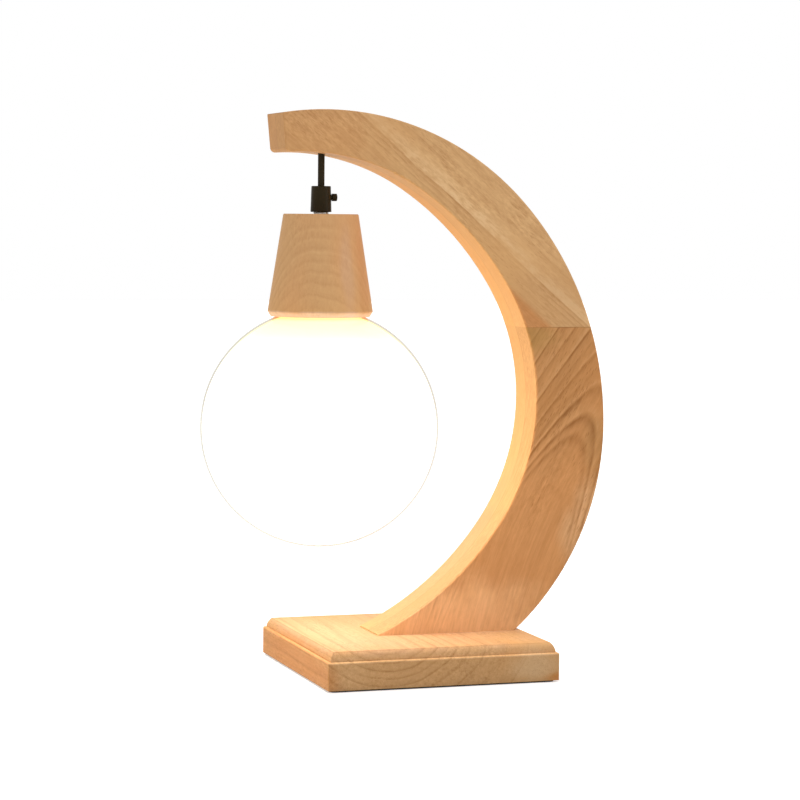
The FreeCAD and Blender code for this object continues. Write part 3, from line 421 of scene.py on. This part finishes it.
def make_tone_and_painted_light_patch():
    """Soft-edged patch of another tone, such as heartwood at a corner of a board; some patches are painted
    light or painted shade instead.
    """
    tree, given, out = new_group(
        "Tone and painted light patch", {"Vector": (0.0, 0.0, 0.0), "Middle": (0.0, 0.0, 0.0), "Reach": (20.0, 20.0, 20.0)},
        {"Mask": "NodeSocketFloat"})
    ragged = noise(tree, given["Vector"], 0.05, 3.0, gives="Color")
    wander = reckon_vector(tree, "SUBTRACT", ragged, (0.5, 0.5, 0.5))
    offset = reckon_vector(tree, "SUBTRACT", given["Vector"], given["Middle"])
    scaled = reckon_vector(tree, "DIVIDE", offset, given["Reach"])
    moved = reckon_vector(tree, "MULTIPLY_ADD", wander, (0.7, 0.7, 0.7), scaled)
    length = reckon_vector(tree, "LENGTH", moved, gives="Value")
    tree.links.new(step_between(tree, length, 0.35, 1.15, 1.0, 0.0), out["Mask"])
    return tree


def make_glue_line():
    """Thin darker line where the arch's two segments and its two boards meet, fainter on the sides."""
    tree, given, out = new_group("Glue line", {"Vector": (0.0, 0.0, 0.0), "Side": 0.0},
                                 {"Mask": "NodeSocketFloat"})
    parts = place(tree, "ShaderNodeSeparateXYZ", {"Vector": given["Vector"]}).outputs
    height = reckon(tree, "ABSOLUTE", reckon(tree, "SUBTRACT", parts["Z"], JOINT_HEIGHT))
    joint = step_between(tree, height, 0.10, 0.50, 1.0, 0.0)
    joint = reckon(tree, "MULTIPLY", joint, step_between(tree, parts["X"], 70.0, 100.0, 0.15, 0.75))
    joint = reckon(tree, "MULTIPLY", joint, step_between(tree, given["Side"], 0.0, 1.0, 1.0, 0.25))
    seam = step_between(tree, reckon(tree, "ABSOLUTE", parts["Y"]), 0.08, 0.40, 1.0, 0.0)
    both = reckon(tree, "MAXIMUM", joint, reckon(tree, "MULTIPLY", seam, 0.5))
    breaks = noise(tree, reckon_vector(tree, "MULTIPLY", given["Vector"], (0.05, 0.05, 0.05)), detail=1.0)
    mask = reckon(tree, "MULTIPLY", both, step_between(tree, breaks, 0.3, 0.6, 0.35, 0.8))
    tree.links.new(mask, out["Mask"])
    return tree


def make_handling():
    """Faint smudges, fine specks and a slight orange-peel on moulded, plated and blown parts."""
    tree, given, out = new_group(
        "Handling", {"Vector": (0.0, 0.0, 0.0), "Speck Size": 0.4},
        {"Smudge": "NodeSocketFloat", "Speck": "NodeSocketFloat", "Height": "NodeSocketFloat"})
    smudge = noise(tree, given["Vector"], 0.09, 4.0, 0.6)
    fine = noise(tree, given["Vector"], reckon(tree, "DIVIDE", 1.0, given["Speck Size"]), 2.0)
    tree.links.new(step_between(tree, smudge, 0.35, 0.7), out["Smudge"])
    tree.links.new(step_between(tree, fine, 0.45, 0.7), out["Speck"])
    tree.links.new(fine, out["Height"])
    return tree


pith_distance = make_pith_distance()
board_figure = make_board_figure()
tone_and_painted_light_patch = make_tone_and_painted_light_patch()
glue_line = make_glue_line()
handling = make_handling()


# ---------------------------------------------------------------- materials

def board_coordinates(tree, object_coordinates, pith, fibre):
    """Coordinates in millimetres whose Z axis is the pith line."""
    along = fibre.normalized()
    beside = Vector((0.0, 1.0, 0.0)).cross(along)
    if beside.length < 0.1:
        beside = Vector((1.0, 0.0, 0.0))
    beside.normalize()
    facing = along.cross(beside)
    turn = Matrix((beside, facing, along))
    node = place(tree, "ShaderNodeMapping",
                 {"Vector": object_coordinates, "Location": -(turn @ pith), "Rotation": turn.to_euler("XYZ"),
                  "Scale": TO_MILLIMETRES})
    return node.outputs["Vector"]


def standing_rings(tree, distance, rings, rise):
    """Tone of the rings that stand out, 0.5 where there is none: a ring deepens outwards over its
    year, ends at a sharp line, and the next year starts pale."""
    if not rings:
        return 0.5
    low = rings[0][0] - rise - RING_LEAD
    high = rings[-1][0] + RING_TAIL
    stops = [(low, 0.5)]
    for radius, dark, pale in rings:
        stops += [(max(radius - rise, stops[-1][0] + RING_GAP), 0.5),
                  (radius - RING_FALL, 0.5 + dark / 2), (radius + RING_FALL, 0.5 - pale / 2)]
    stops.append((high, 0.5))
    level = place(tree, "ShaderNodeMapRange", {"Value": distance, "From Min": low, "From Max": high})
    shares = [((radius - low) / (high - low), tone) for radius, tone in stops]
    return ramp(tree, level.outputs["Result"], shares)


def lean_fibres(tree, board, start, lean):
    """The board's coordinates, the fibres leaning more and more below a start along the board."""
    parts = place(tree, "ShaderNodeSeparateXYZ", {"Vector": board}).outputs
    below = reckon(tree, "MINIMUM", reckon(tree, "SUBTRACT", parts["Z"], start), 0.0)
    aside = reckon(tree, "MULTIPLY", reckon(tree, "MULTIPLY", below, below), -lean / 2)
    moved = {"X": reckon(tree, "ADD", parts["X"], aside), "Y": parts["Y"], "Z": parts["Z"]}
    return place(tree, "ShaderNodeCombineXYZ", moved).outputs["Vector"]


def heart_mask(tree, on_front, distance, board, limit, start):
    """The front's wood nearer the pith than a limit, from a start along the board."""
    near = step_between(tree, distance, limit - HEART_EDGE, limit, 1.0, 0.0)
    beyond = step_between(tree, along_axis(tree, board, "Z"), start, start + HEART_START)
    return reckon(tree, "MULTIPLY", reckon(tree, "MULTIPLY", on_front, near), beyond)


def slope_mask(tree, normal, here, top):
    """Faces that look up without being the top face: the step and the round-over, where light is painted into
    the wood's colour.
    """
    upward = step_between(tree, along_axis(tree, normal, "Z"), 0.10, 0.35)
    below = step_between(tree, along_axis(tree, here, "Z"), top - SLOPE_TO, top - SLOPE_FROM, 1.0, 0.0)
    return reckon(tree, "MULTIPLY", upward, below)


def wood(name, pith, fibre, pale, dark, blush, rings=(), rise=1.6, taper=0.1, waver=1.0, lean=None,
         heart=None, glued=False, side=(1.0, 1.0, 1.0), slopes=None, patches=(), **figure):
    """Oiled hardwood whose growth rings lie round one pith line.

    rings, rise: the rings that stand out, and how far inwards from each its tone deepens
    lean: start along the board and amount of the fibres' lean
    heart: limit from the pith, tint and start along the board of the heartwood on the front
    glued, side: whether it is a board of the arch, with glue lines, and the tint of its sides
    slopes: painted light, a tint that makes the faces between the sides and the top of the base paler
    patches: faces, middle, reach and tint of each patch, some of another tone and some of painted light or
    painted shade, in millimetres"""
    material, tree, shader = new_material(name, Specular_IOR_Level=0.03)
    coordinates = tree.nodes.new("ShaderNodeTexCoord").outputs
    normal = coordinates["Normal"]
    here = in_millimetres(tree)
    board = board_coordinates(tree, coordinates["Object"], pith, fibre)
    to_front = reckon(tree, "ABSOLUTE", along_axis(tree, normal, "Y"))
    on_side = step_between(tree, to_front, 0.35, 0.80, 1.0, 0.0)
    on_front = reckon(tree, "SUBTRACT", 1.0, on_side)
    quiet = step_between(tree, on_side, 0.0, 1.0, 1.0, QUIET_FACE) if glued else 1.0
    if lean:
        start, amount = lean
        along = along_axis(tree, board, "Z")
        calm = step_between(tree, along, start - LEAN_START, start, QUIET_FACE, 1.0)
        quiet = reckon(tree, "MULTIPLY", quiet, calm)
        board = lean_fibres(tree, board, start, amount)
    distance = group_node(tree, pith_distance, {"Vector": board, "Taper": taper, "Waver": waver})["Distance"]
    facing = reckon_vector(tree, "DOT_PRODUCT", normal, fibre.normalized(), gives="Value")
    end_grain = step_between(tree, reckon(tree, "ABSOLUTE", facing), 0.72, 0.98)
    sockets = {"Vector": board, "Distance": distance, "End Grain": end_grain, "Quiet": quiet,
               "Standing Rings": standing_rings(tree, distance, rings, rise),
               "Pale": (*pale, 1.0), "Dark": (*dark, 1.0), "Blush": (*blush, 1.0)}
    sockets.update({label.replace("_", " "): value for label, value in figure.items()})
    figured = group_node(tree, board_figure, sockets)
    colour = figured["Color"]
    if heart:
        limit, tint, start = heart
        colour = tinted(tree, heart_mask(tree, on_front, distance, board, limit, start), colour, tint)
    if glued:
        colour = tinted(tree, on_side, colour, side)
        glue = group_node(tree, glue_line, {"Vector": here, "Side": on_side})["Mask"]
        colour = blend_colours(tree, glue, colour, (dark[0] * 0.6, dark[1] * 0.55, dark[2] * 0.5, 1.0))
    # painted light: the base's step and round-over are made paler, as though lit from above
    if slopes:
        colour = tinted(tree, slope_mask(tree, normal, here, BASE_TOP), colour, slopes)
    faces = {"all": 1.0, "front": on_front, "side": on_side}
    for where, middle, reach, tint in patches:
        patch = group_node(tree, tone_and_painted_light_patch, {"Vector": here, "Middle": middle, "Reach": reach})["Mask"]
        colour = tinted(tree, reckon(tree, "MULTIPLY", patch, faces[where]), colour, tint)
    tree.links.new(colour, shader.inputs["Base Color"])
    tree.links.new(figured["Roughness"], shader.inputs["Roughness"])
    bump(tree, shader, figured["Height"], 0.00005, 0.5)
    return material


def plain_finish(name, colour, second, roughness, relief, speck, **sockets):
    """Moulded, plated or rubber surface: one colour that drifts to a second with handling. The
    relief is in metres and the specks' size in millimetres."""
    material, tree, shader = new_material(name, **sockets)
    marks = group_node(tree, handling, {"Vector": in_millimetres(tree), "Speck Size": speck})
    worn = reckon(tree, "MULTIPLY_ADD", marks["Smudge"], 0.6, reckon(tree, "MULTIPLY", marks["Speck"], 0.4))
    tree.links.new(blend_colours(tree, worn, (*colour, 1.0), (*second, 1.0)), shader.inputs["Base Color"])
    tree.links.new(reckon(tree, "MULTIPLY_ADD", marks["Smudge"], 0.12, roughness), shader.inputs["Roughness"])
    bump(tree, shader, marks["Height"], relief)
    return material


def opal_glass():
    """White opal glass, lit from inside: brightest below the bulb, dimmer beside its socket."""
    material, tree, shader = new_material("Opal glass", Specular_IOR_Level=0.12,
                                          Emission_Strength=GLOW_STRENGTH)
    marks = group_node(tree, handling, {"Vector": in_millimetres(tree), "Speck Size": 3.0})
    level = place(tree, "ShaderNodeMapRange",
                  {"Value": along_axis(tree, object_place(tree), "Z"), "From Min": GLOW_FOOT,
                   "From Max": GLOW_TOP}).outputs["Result"]
    facing = tree.nodes.new("ShaderNodeLayerWeight").outputs["Facing"]
    edge = step_between(tree, facing, EDGE_START, EDGE_END, 0.0, EDGE_DEPTH)
    glow = blend_colours(tree, edge, ramp(tree, level, GLOW), EDGE_GLOW)
    tree.links.new(glow, shader.inputs["Emission Color"])
    tint = blend_colours(tree, marks["Smudge"], OPAL_CLEAN, OPAL_SMUDGED)
    # painted light: the glass's colour turns yellow near the neck, for the warm glow there
    tint = blend_colours(tree, step_between(tree, level, 0.84, 0.96), tint, OPAL_NECK_PAINTED_GLOW)
    tint = blend_colours(tree, edge, tint, blend_colours(tree, level, EDGE_FOOT, EDGE_NECK))
    tree.links.new(tint, shader.inputs["Base Color"])
    tree.links.new(reckon(tree, "MULTIPLY_ADD", marks["Smudge"], 0.04, 0.16), shader.inputs["Roughness"])
    bump(tree, shader, marks["Height"], 0.00003, 0.3)
    return material


def bulb_glow():
    """Frosted plastic dome of the bulb, lit from inside."""
    material, tree, shader = new_material("Bulb diffuser", Emission_Strength=GLOW_STRENGTH)
    marks = group_node(tree, handling, {"Vector": in_millimetres(tree), "Speck Size": 0.8})
    glow = blend_colours(tree, marks["Smudge"], BULB_GLOW, BULB_GLOW_SMUDGED)
    tree.links.new(glow, shader.inputs["Emission Color"])
    tint = blend_colours(tree, marks["Speck"], BULB_FROST, BULB_FROST_SPECK)
    tree.links.new(tint, shader.inputs["Base Color"])
    tree.links.new(reckon(tree, "MULTIPLY_ADD", marks["Smudge"], 0.08, 0.45), shader.inputs["Roughness"])
    return material


lower_front = wood(
    "Lower arch, front board", LOWER_FRONT_PITH, LOWER_FRONT_FIBRE,
    pale=(0.66, 0.322, 0.127), dark=(0.27, 0.100, 0.029), blush=(0.56, 0.251, 0.088),
    rings=LOWER_FRONT_RINGS, rise=1.0, taper=0.10, waver=0.7, lean=(-30.0, 0.0024),
    glued=True, side=(1.06, 1.25, 1.36),
    # painted light: the first patch makes the foot's front much paler, where the globe's light and its bounce
    # off the base fall
    patches=[("front", (10.0, BOARD_FRONT, 24.0), (95.0, 60.0, 42.0), (1.42, 1.71, 2.18)),
             ("front", (72.0, BOARD_FRONT, 212.0), (22.0, 30.0, 12.0), (0.90, 0.98, 0.88)),
             ("front", (90.0, BOARD_FRONT, 195.0), (45.0, 40.0, 75.0), (0.84, 0.86, 0.86)),
             ("front", (121.0, BOARD_FRONT, 140.0), (11.0, 30.0, 26.0), (0.84, 0.88, 0.88)),
             ("front", (117.0, BOARD_FRONT, 107.0), (12.0, 30.0, 18.0), (1.05, 1.20, 1.45)),
             ("front", (106.0, BOARD_FRONT, 84.0), (13.0, 30.0, 20.0), (1.05, 1.20, 1.45)),
             ("side", (6.0, -10.0, 62.0), (85.0, 60.0, 62.0), (0.97, 0.86, 0.96)),
             # painted light: the thin toe face where the arch meets the base is made paler, lifting its shade
             ("side", TOE, (9.0, 120.0, 1.4), (1.02, 1.45, 1.50))],
    Ring_Width=4.4, Faint_Rings=0.14, Line=0.62, Streak=0.30, Fleck=0.34, Pores=0.75, Seed=2.4)
lower_back = wood(
    "Lower arch, back board", LOWER_BACK_PITH, LOWER_BACK_FIBRE,
    pale=(0.72, 0.410, 0.175), dark=(0.46, 0.215, 0.075), blush=(0.68, 0.370, 0.150),
    taper=0.06, waver=2.0, glued=True,
    patches=[("side", (15.0, 10.0, 72.0), (95.0, 60.0, 72.0), (0.94, 0.82, 0.97)),
             # painted light: the thin toe face where the arch meets the base is made paler, lifting its shade
             ("side", TOE, (9.0, 120.0, 1.4), (1.02, 1.45, 1.50))],
    Ring_Width=6.0, Faint_Rings=0.40, Line=0.5, Streak=0.28, Fleck=0.25, Pores=0.5, Seed=7.1)
upper_front = wood(
    "Upper arch, front board", UPPER_FRONT_PITH, UPPER_FRONT_FIBRE,
    pale=(0.69, 0.422, 0.201), dark=(0.35, 0.158, 0.056), blush=(0.60, 0.336, 0.143),
    rings=UPPER_FRONT_RINGS, rise=1.5, taper=0.015, waver=3.0, heart=(124.5, (0.91, 0.73, 0.61), -140.0),
    glued=True, side=(1.12, 1.08, 1.00),
    patches=[("all", (-86.0, BOARD_FRONT, 345.0), (78.0, 60.0, 50.0), (0.97, 0.90, 0.86)),
             ("side", (-97.0, -10.0, 335.0), (20.0, 60.0, 50.0), (0.85, 0.85, 0.84)),
             ("front", (88.0, BOARD_FRONT, 232.0), (42.0, 30.0, 30.0), (0.92, 0.91, 0.92))],
    Ring_Width=7.5, Faint_Rings=0.14, Line=0.50, Streak=0.24, Fleck=0.50, Pores=0.5, Seed=4.2)
upper_back = wood(
    "Upper arch, back board", UPPER_BACK_PITH, UPPER_BACK_FIBRE,
    pale=(0.74, 0.430, 0.190), dark=(0.48, 0.240, 0.088), blush=(0.70, 0.385, 0.160),
    taper=0.03, waver=2.0, glued=True, side=(1.04, 1.00, 0.94),
    patches=[("side", (-97.0, 10.0, 335.0), (20.0, 60.0, 50.0), (0.79, 0.74, 0.76))],
    Ring_Width=8.0, Faint_Rings=0.40, Line=0.45, Streak=0.30, Fleck=0.30, Pores=0.4, Seed=9.3)
base_wood = wood(
    "Base board", BASE_PITH, BASE_FIBRE,
    pale=(0.71, 0.405, 0.172), dark=(0.36, 0.168, 0.058), blush=(0.62, 0.320, 0.120),
    # slopes: painted light, making the base's step and round-over paler
    rings=BASE_RINGS, taper=0.01, waver=1.6, slopes=(1.13, 1.16, 1.22),
    patches=[("all", (78.0, -62.0, 3.0), (14.0, 60.0, 4.5), (1.02, 0.82, 0.62)),
             ("all", (58.0, BASE_FRONT, 12.0), (20.0, 12.0, 12.0), (1.12, 1.28, 1.55)),
             ("all", (-66.0, BASE_FRONT, 12.0), (20.0, 4.0, 14.0), (1.07, 1.11, 1.17)),
             ("all", (62.0, -30.0, 24.5), (34.0, 60.0, 5.0), (1.05, 1.12, 1.22)),
             # painted shade: the base's left face is made darker and more orange, for the lesser light from
             # the left
             ("all", (-78.0, 0.0, 9.0), (14.0, 150.0, 18.0), (0.90, 0.74, 0.64)),
             ("all", (-30.0, 0.0, 24.5), (110.0, 110.0, 5.0), (1.0, 1.02, 1.32)),
             # painted light: a thin band low on the step, above the ledge, is made paler to lift its shade
             ("all", (0.0, 0.0, 18.7), (400.0, 400.0, 2.0), (1.12, 1.13, 1.18)),
             ("all", (0.0, BASE_FRONT, 7.0), (250.0, 3.0, 24.0), (0.92, 0.94, 0.95))],
    Ring_Width=5.2, Faint_Rings=0.26, Line=0.50, Streak=0.26, Fleck=0.40, Pores=0.7, Seed=5.7)
cup_wood = wood(
    "Turned cup", CUP_PITH, CUP_FIBRE,
    pale=(0.655, 0.392, 0.188), dark=(0.44, 0.218, 0.090), blush=(0.63, 0.326, 0.146),
    rings=CUP_RINGS, rise=0.8, taper=0.0, waver=1.6,
    # painted highlight: the first patch is a pale upright band on the cup's front right, where a softbox's
    # reflection falls
    patches=[("all", (-50.1, -27.8, 256.0), (6.0, 9.0, 46.0), (0.98, 1.04, 1.22)),
             # painted shade: the cup's right edge is made darker and more orange
             ("all", (-37.0, -22.0, 250.0), (7.0, 14.0, 50.0), (0.97, 0.90, 0.86)),
             # painted light: the cup's lower edge and bevel are made paler, as lit by the globe below
             ("all", (-59.5, 0.0, 225.8), (90.0, 90.0, 3.2), (1.28, 1.64, 3.0))],
    Ring_Width=1.2, Faint_Rings=0.22, Line=0.50, Streak=0.10, Fleck=0.40, Pores=0.35, Seed=1.3)
dowel_wood = wood(
    "Beech dowel", DOWEL_PITH, DOWEL_FIBRE,
    pale=(0.66, 0.42, 0.24), dark=(0.46, 0.25, 0.12), blush=(0.62, 0.36, 0.19), taper=0.02,
    Ring_Width=3.0, Faint_Rings=0.40, Line=0.40, Streak=0.30, Fleck=0.30, Pores=0.3, Seed=3.3)

foam = plain_finish("Black foam pad", (0.030, 0.028, 0.026), (0.055, 0.052, 0.048), 0.82, 0.00012, 0.9)
satin_black = plain_finish("Satin black plastic", (0.023, 0.015, 0.004), (0.034, 0.024, 0.010), 0.32, 0.00002,
                           0.5, Specular_IOR_Level=0.08)
sheath = plain_finish("Cord sheath", (0.022, 0.016, 0.006), (0.034, 0.026, 0.011), 0.45, 0.00003,
                      0.6, Specular_IOR_Level=0.10)
zinc = plain_finish("Zinc plate", (0.62, 0.61, 0.58), (0.50, 0.49, 0.46), 0.22, 0.00001, 0.3, Metallic=1.0)
brass = plain_finish("Brass strip", (0.78, 0.60, 0.30), (0.62, 0.45, 0.20), 0.28, 0.00001, 0.3, Metallic=1.0)
white_plastic = plain_finish("White moulding", (0.84, 0.83, 0.79), (0.76, 0.74, 0.69), 0.38, 0.00002, 0.5)
pale_rubber = plain_finish("Pale rubber", (0.74, 0.73, 0.69), (0.64, 0.62, 0.57), 0.55, 0.00004, 0.7)
opal = opal_glass()
diffuser = bulb_glow()

finishes = {
    "base_board": base_wood,
    "base_pad": foam,
    "inlet_bush": satin_black,
    "foot_screws": zinc,
    "terminal_block": white_plastic,
    "terminal_screws": zinc,
    "terminal_fixing": zinc,
    "arch_lower_front": lower_front,
    "arch_lower_back": lower_back,
    "arch_upper_front": upper_front,
    "arch_upper_back": upper_back,
    "joint_dowels": dowel_wood,
    "arch_lead": sheath,
    "stop_sleeve": satin_black,
    "free_cord": sheath,
    "cord_grip": satin_black,
    "grip_screw": satin_black,
    "nipple": zinc,
    "holder_lead": sheath,
    "cup": cup_wood,
    "cup_washer": zinc,
    "lock_nut": zinc,
    "holder_cap": white_plastic,
    "holder_body": white_plastic,
    "holder_shell": zinc,
    "centre_contact": brass,
    "shade_ring": white_plastic,
    "globe_gallery": zinc,
    "bulb_cap": zinc,
    "bulb_housing": white_plastic,
    "bulb_dome": diffuser,
    "lip_rubber": pale_rubber,
    "globe": opal,
    "globe_neck": opal,
}


def dress(node, material):
    """Puts the finish on every slot of a node."""
    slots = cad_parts[node].data.materials
    slots.clear()
    slots.append(material)


for node_name, finish in finishes.items():
    dress(node_name, finish)


# ---------------------------------------------------------------- threaded nipple

def settle(piece):
    """Writes the place and turn of a piece into its mesh."""
    bpy.ops.object.select_all(action="DESELECT")
    piece.select_set(True)
    bpy.context.view_layer.objects.active = piece
    bpy.ops.object.transform_apply(location=True, rotation=True, scale=True)


def nipple_tube(length, root):
    """Open pipe, given its wall inwards from the root of the thread to the bore."""
    bpy.ops.object.select_all(action="DESELECT")
    bpy.ops.mesh.primitive_cylinder_add(vertices=THREAD_SIDES, radius=root, depth=length,
                                        end_fill_type="NOTHING", location=(0.0, 0.0, length / 2))
    tube = bpy.context.object
    settle(tube)
    wall = tube.modifiers.new("wall", "SOLIDIFY")
    wall.thickness = root - NIPPLE_BORE
    wall.offset = -1.0
    bpy.ops.object.modifier_apply(modifier=wall.name)
    return tube


def nipple_ridge(length, crest):
    """Three-sided ridge wound up the pipe, a turn for each pitch, its two ends closed."""
    bpy.ops.object.select_all(action="DESELECT")
    bpy.ops.mesh.primitive_circle_add(vertices=3, radius=RIDGE_SIZE, rotation=(math.pi / 2, math.pi / 2, 0.0),
                                      location=(crest - RIDGE_SIZE, 0.0, THREAD_PITCH / 2))
    ridge = bpy.context.object
    settle(ridge)
    thread = ridge.modifiers.new("thread", "SCREW")
    thread.axis = "Z"
    thread.angle = math.tau
    thread.screw_offset = THREAD_PITCH
    thread.iterations = math.floor(length / THREAD_PITCH) - 1
    thread.steps = THREAD_SIDES
    thread.render_steps = THREAD_SIDES
    bpy.ops.object.modifier_apply(modifier=thread.name)
    bpy.ops.object.mode_set(mode="EDIT")
    bpy.ops.mesh.select_all(action="SELECT")
    bpy.ops.mesh.fill_holes(sides=3)
    bpy.ops.mesh.select_all(action="SELECT")
    bpy.ops.mesh.normals_make_consistent(inside=False)
    bpy.ops.object.mode_set(mode="OBJECT")
    return ridge


def make_nipple():
    low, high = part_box("nipple")
    crest = (high.x - low.x) / 2
    length = high.z - low.z
    tube = nipple_tube(length, crest - THREAD_DEPTH)
    ridge = nipple_ridge(length, crest)
    bpy.ops.object.select_all(action="DESELECT")
    ridge.select_set(True)
    tube.select_set(True)
    bpy.context.view_layer.objects.active = tube
    bpy.ops.object.join()
    tube.location = ((low.x + high.x) / 2, (low.y + high.y) / 2, low.z)
    settle(tube)
    bpy.ops.object.shade_smooth_by_angle(angle=SMOOTH_BELOW)
    tube.name = "nipple_threaded"
    tube.data.materials.clear()
    tube.data.materials.append(zinc)
    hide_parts("nipple")
    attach(tube, "head")


make_nipple()


# ---------------------------------------------------------------- floor, light and camera

def seen_directly(tree):
    """1 for the camera's own rays and those that metal or glass sends on, 0 for soft light."""
    path = tree.nodes.new("ShaderNodeLightPath").outputs
    mirrored = reckon(tree, "MAXIMUM", path["Is Glossy Ray"], path["Is Transmission Ray"])
    return reckon(tree, "MAXIMUM", path["Is Camera Ray"], mirrored)


def make_floor():
    bpy.ops.mesh.primitive_plane_add(size=FLOOR_SIZE, location=(0.0, 0.0, 0.0))
    floor = bpy.context.object
    floor.name = "floor"
    material, tree, shader = new_material("Pale floor", Roughness=0.7, Specular_IOR_Level=0.1)
    speckle = noise(tree, in_millimetres(tree), 0.02, 3.0)
    tree.links.new(blend_colours(tree, speckle, FLOOR_PALE, FLOOR_SHADE), shader.inputs["Base Color"])
    shader.inputs["Emission Color"].default_value = WHITE
    lift = reckon(tree, "MULTIPLY", seen_directly(tree), FLOOR_LIFT)
    tree.links.new(lift, shader.inputs["Emission Strength"])
    floor.data.materials.append(material)


def make_sky():
    """White to the eye; on the object it is brighter from above than from the sides."""
    world = bpy.data.worlds.new("Studio")
    bpy.context.scene.world = world
    world.use_nodes = True
    tree = world.node_tree
    background = tree.nodes["Background"]
    background.inputs["Color"].default_value = WHITE
    way = tree.nodes.new("ShaderNodeTexCoord").outputs["Generated"]
    height = along_axis(tree, way, "Z")
    falling = step_between(tree, height, 0.15, 0.95, SKY_FROM_SIDE, SKY_FROM_ABOVE)
    strength = step_between(tree, seen_directly(tree), 0.0, 1.0, falling, 1.0)
    tree.links.new(strength, background.inputs["Strength"])


def make_key():
    lamp = bpy.data.lights.new("key", "AREA")
    lamp.energy = KEY_POWER
    lamp.size = KEY_SIZE
    lamp.color = KEY_COLOUR
    key = bpy.data.objects.new("key", lamp)
    bpy.context.collection.objects.link(key)
    key.location = KEY_PLACE
    key.rotation_euler = (KEY_AIM - KEY_PLACE).to_track_quat("-Z", "Y").to_euler()


def make_camera():
    lens = bpy.data.cameras.new("camera")
    lens.lens = CAMERA_LENS
    lens.sensor_width = SENSOR_WIDTH
    lens.clip_end = SIGHT_END
    camera = bpy.data.objects.new("camera", lens)
    bpy.context.collection.objects.link(camera)
    turn = (Matrix.Rotation(CAMERA_YAW, 4, "Z") @ Matrix.Rotation(math.pi / 2 - CAMERA_PITCH, 4, "X")
            @ Matrix.Rotation(CAMERA_ROLL, 4, "Z"))
    camera.matrix_world = Matrix.Translation(CAMERA_PLACE) @ turn
    bpy.context.scene.camera = camera


make_floor()
make_sky()
make_key()
make_camera()
bpy.context.scene.view_settings.view_transform = "Standard"
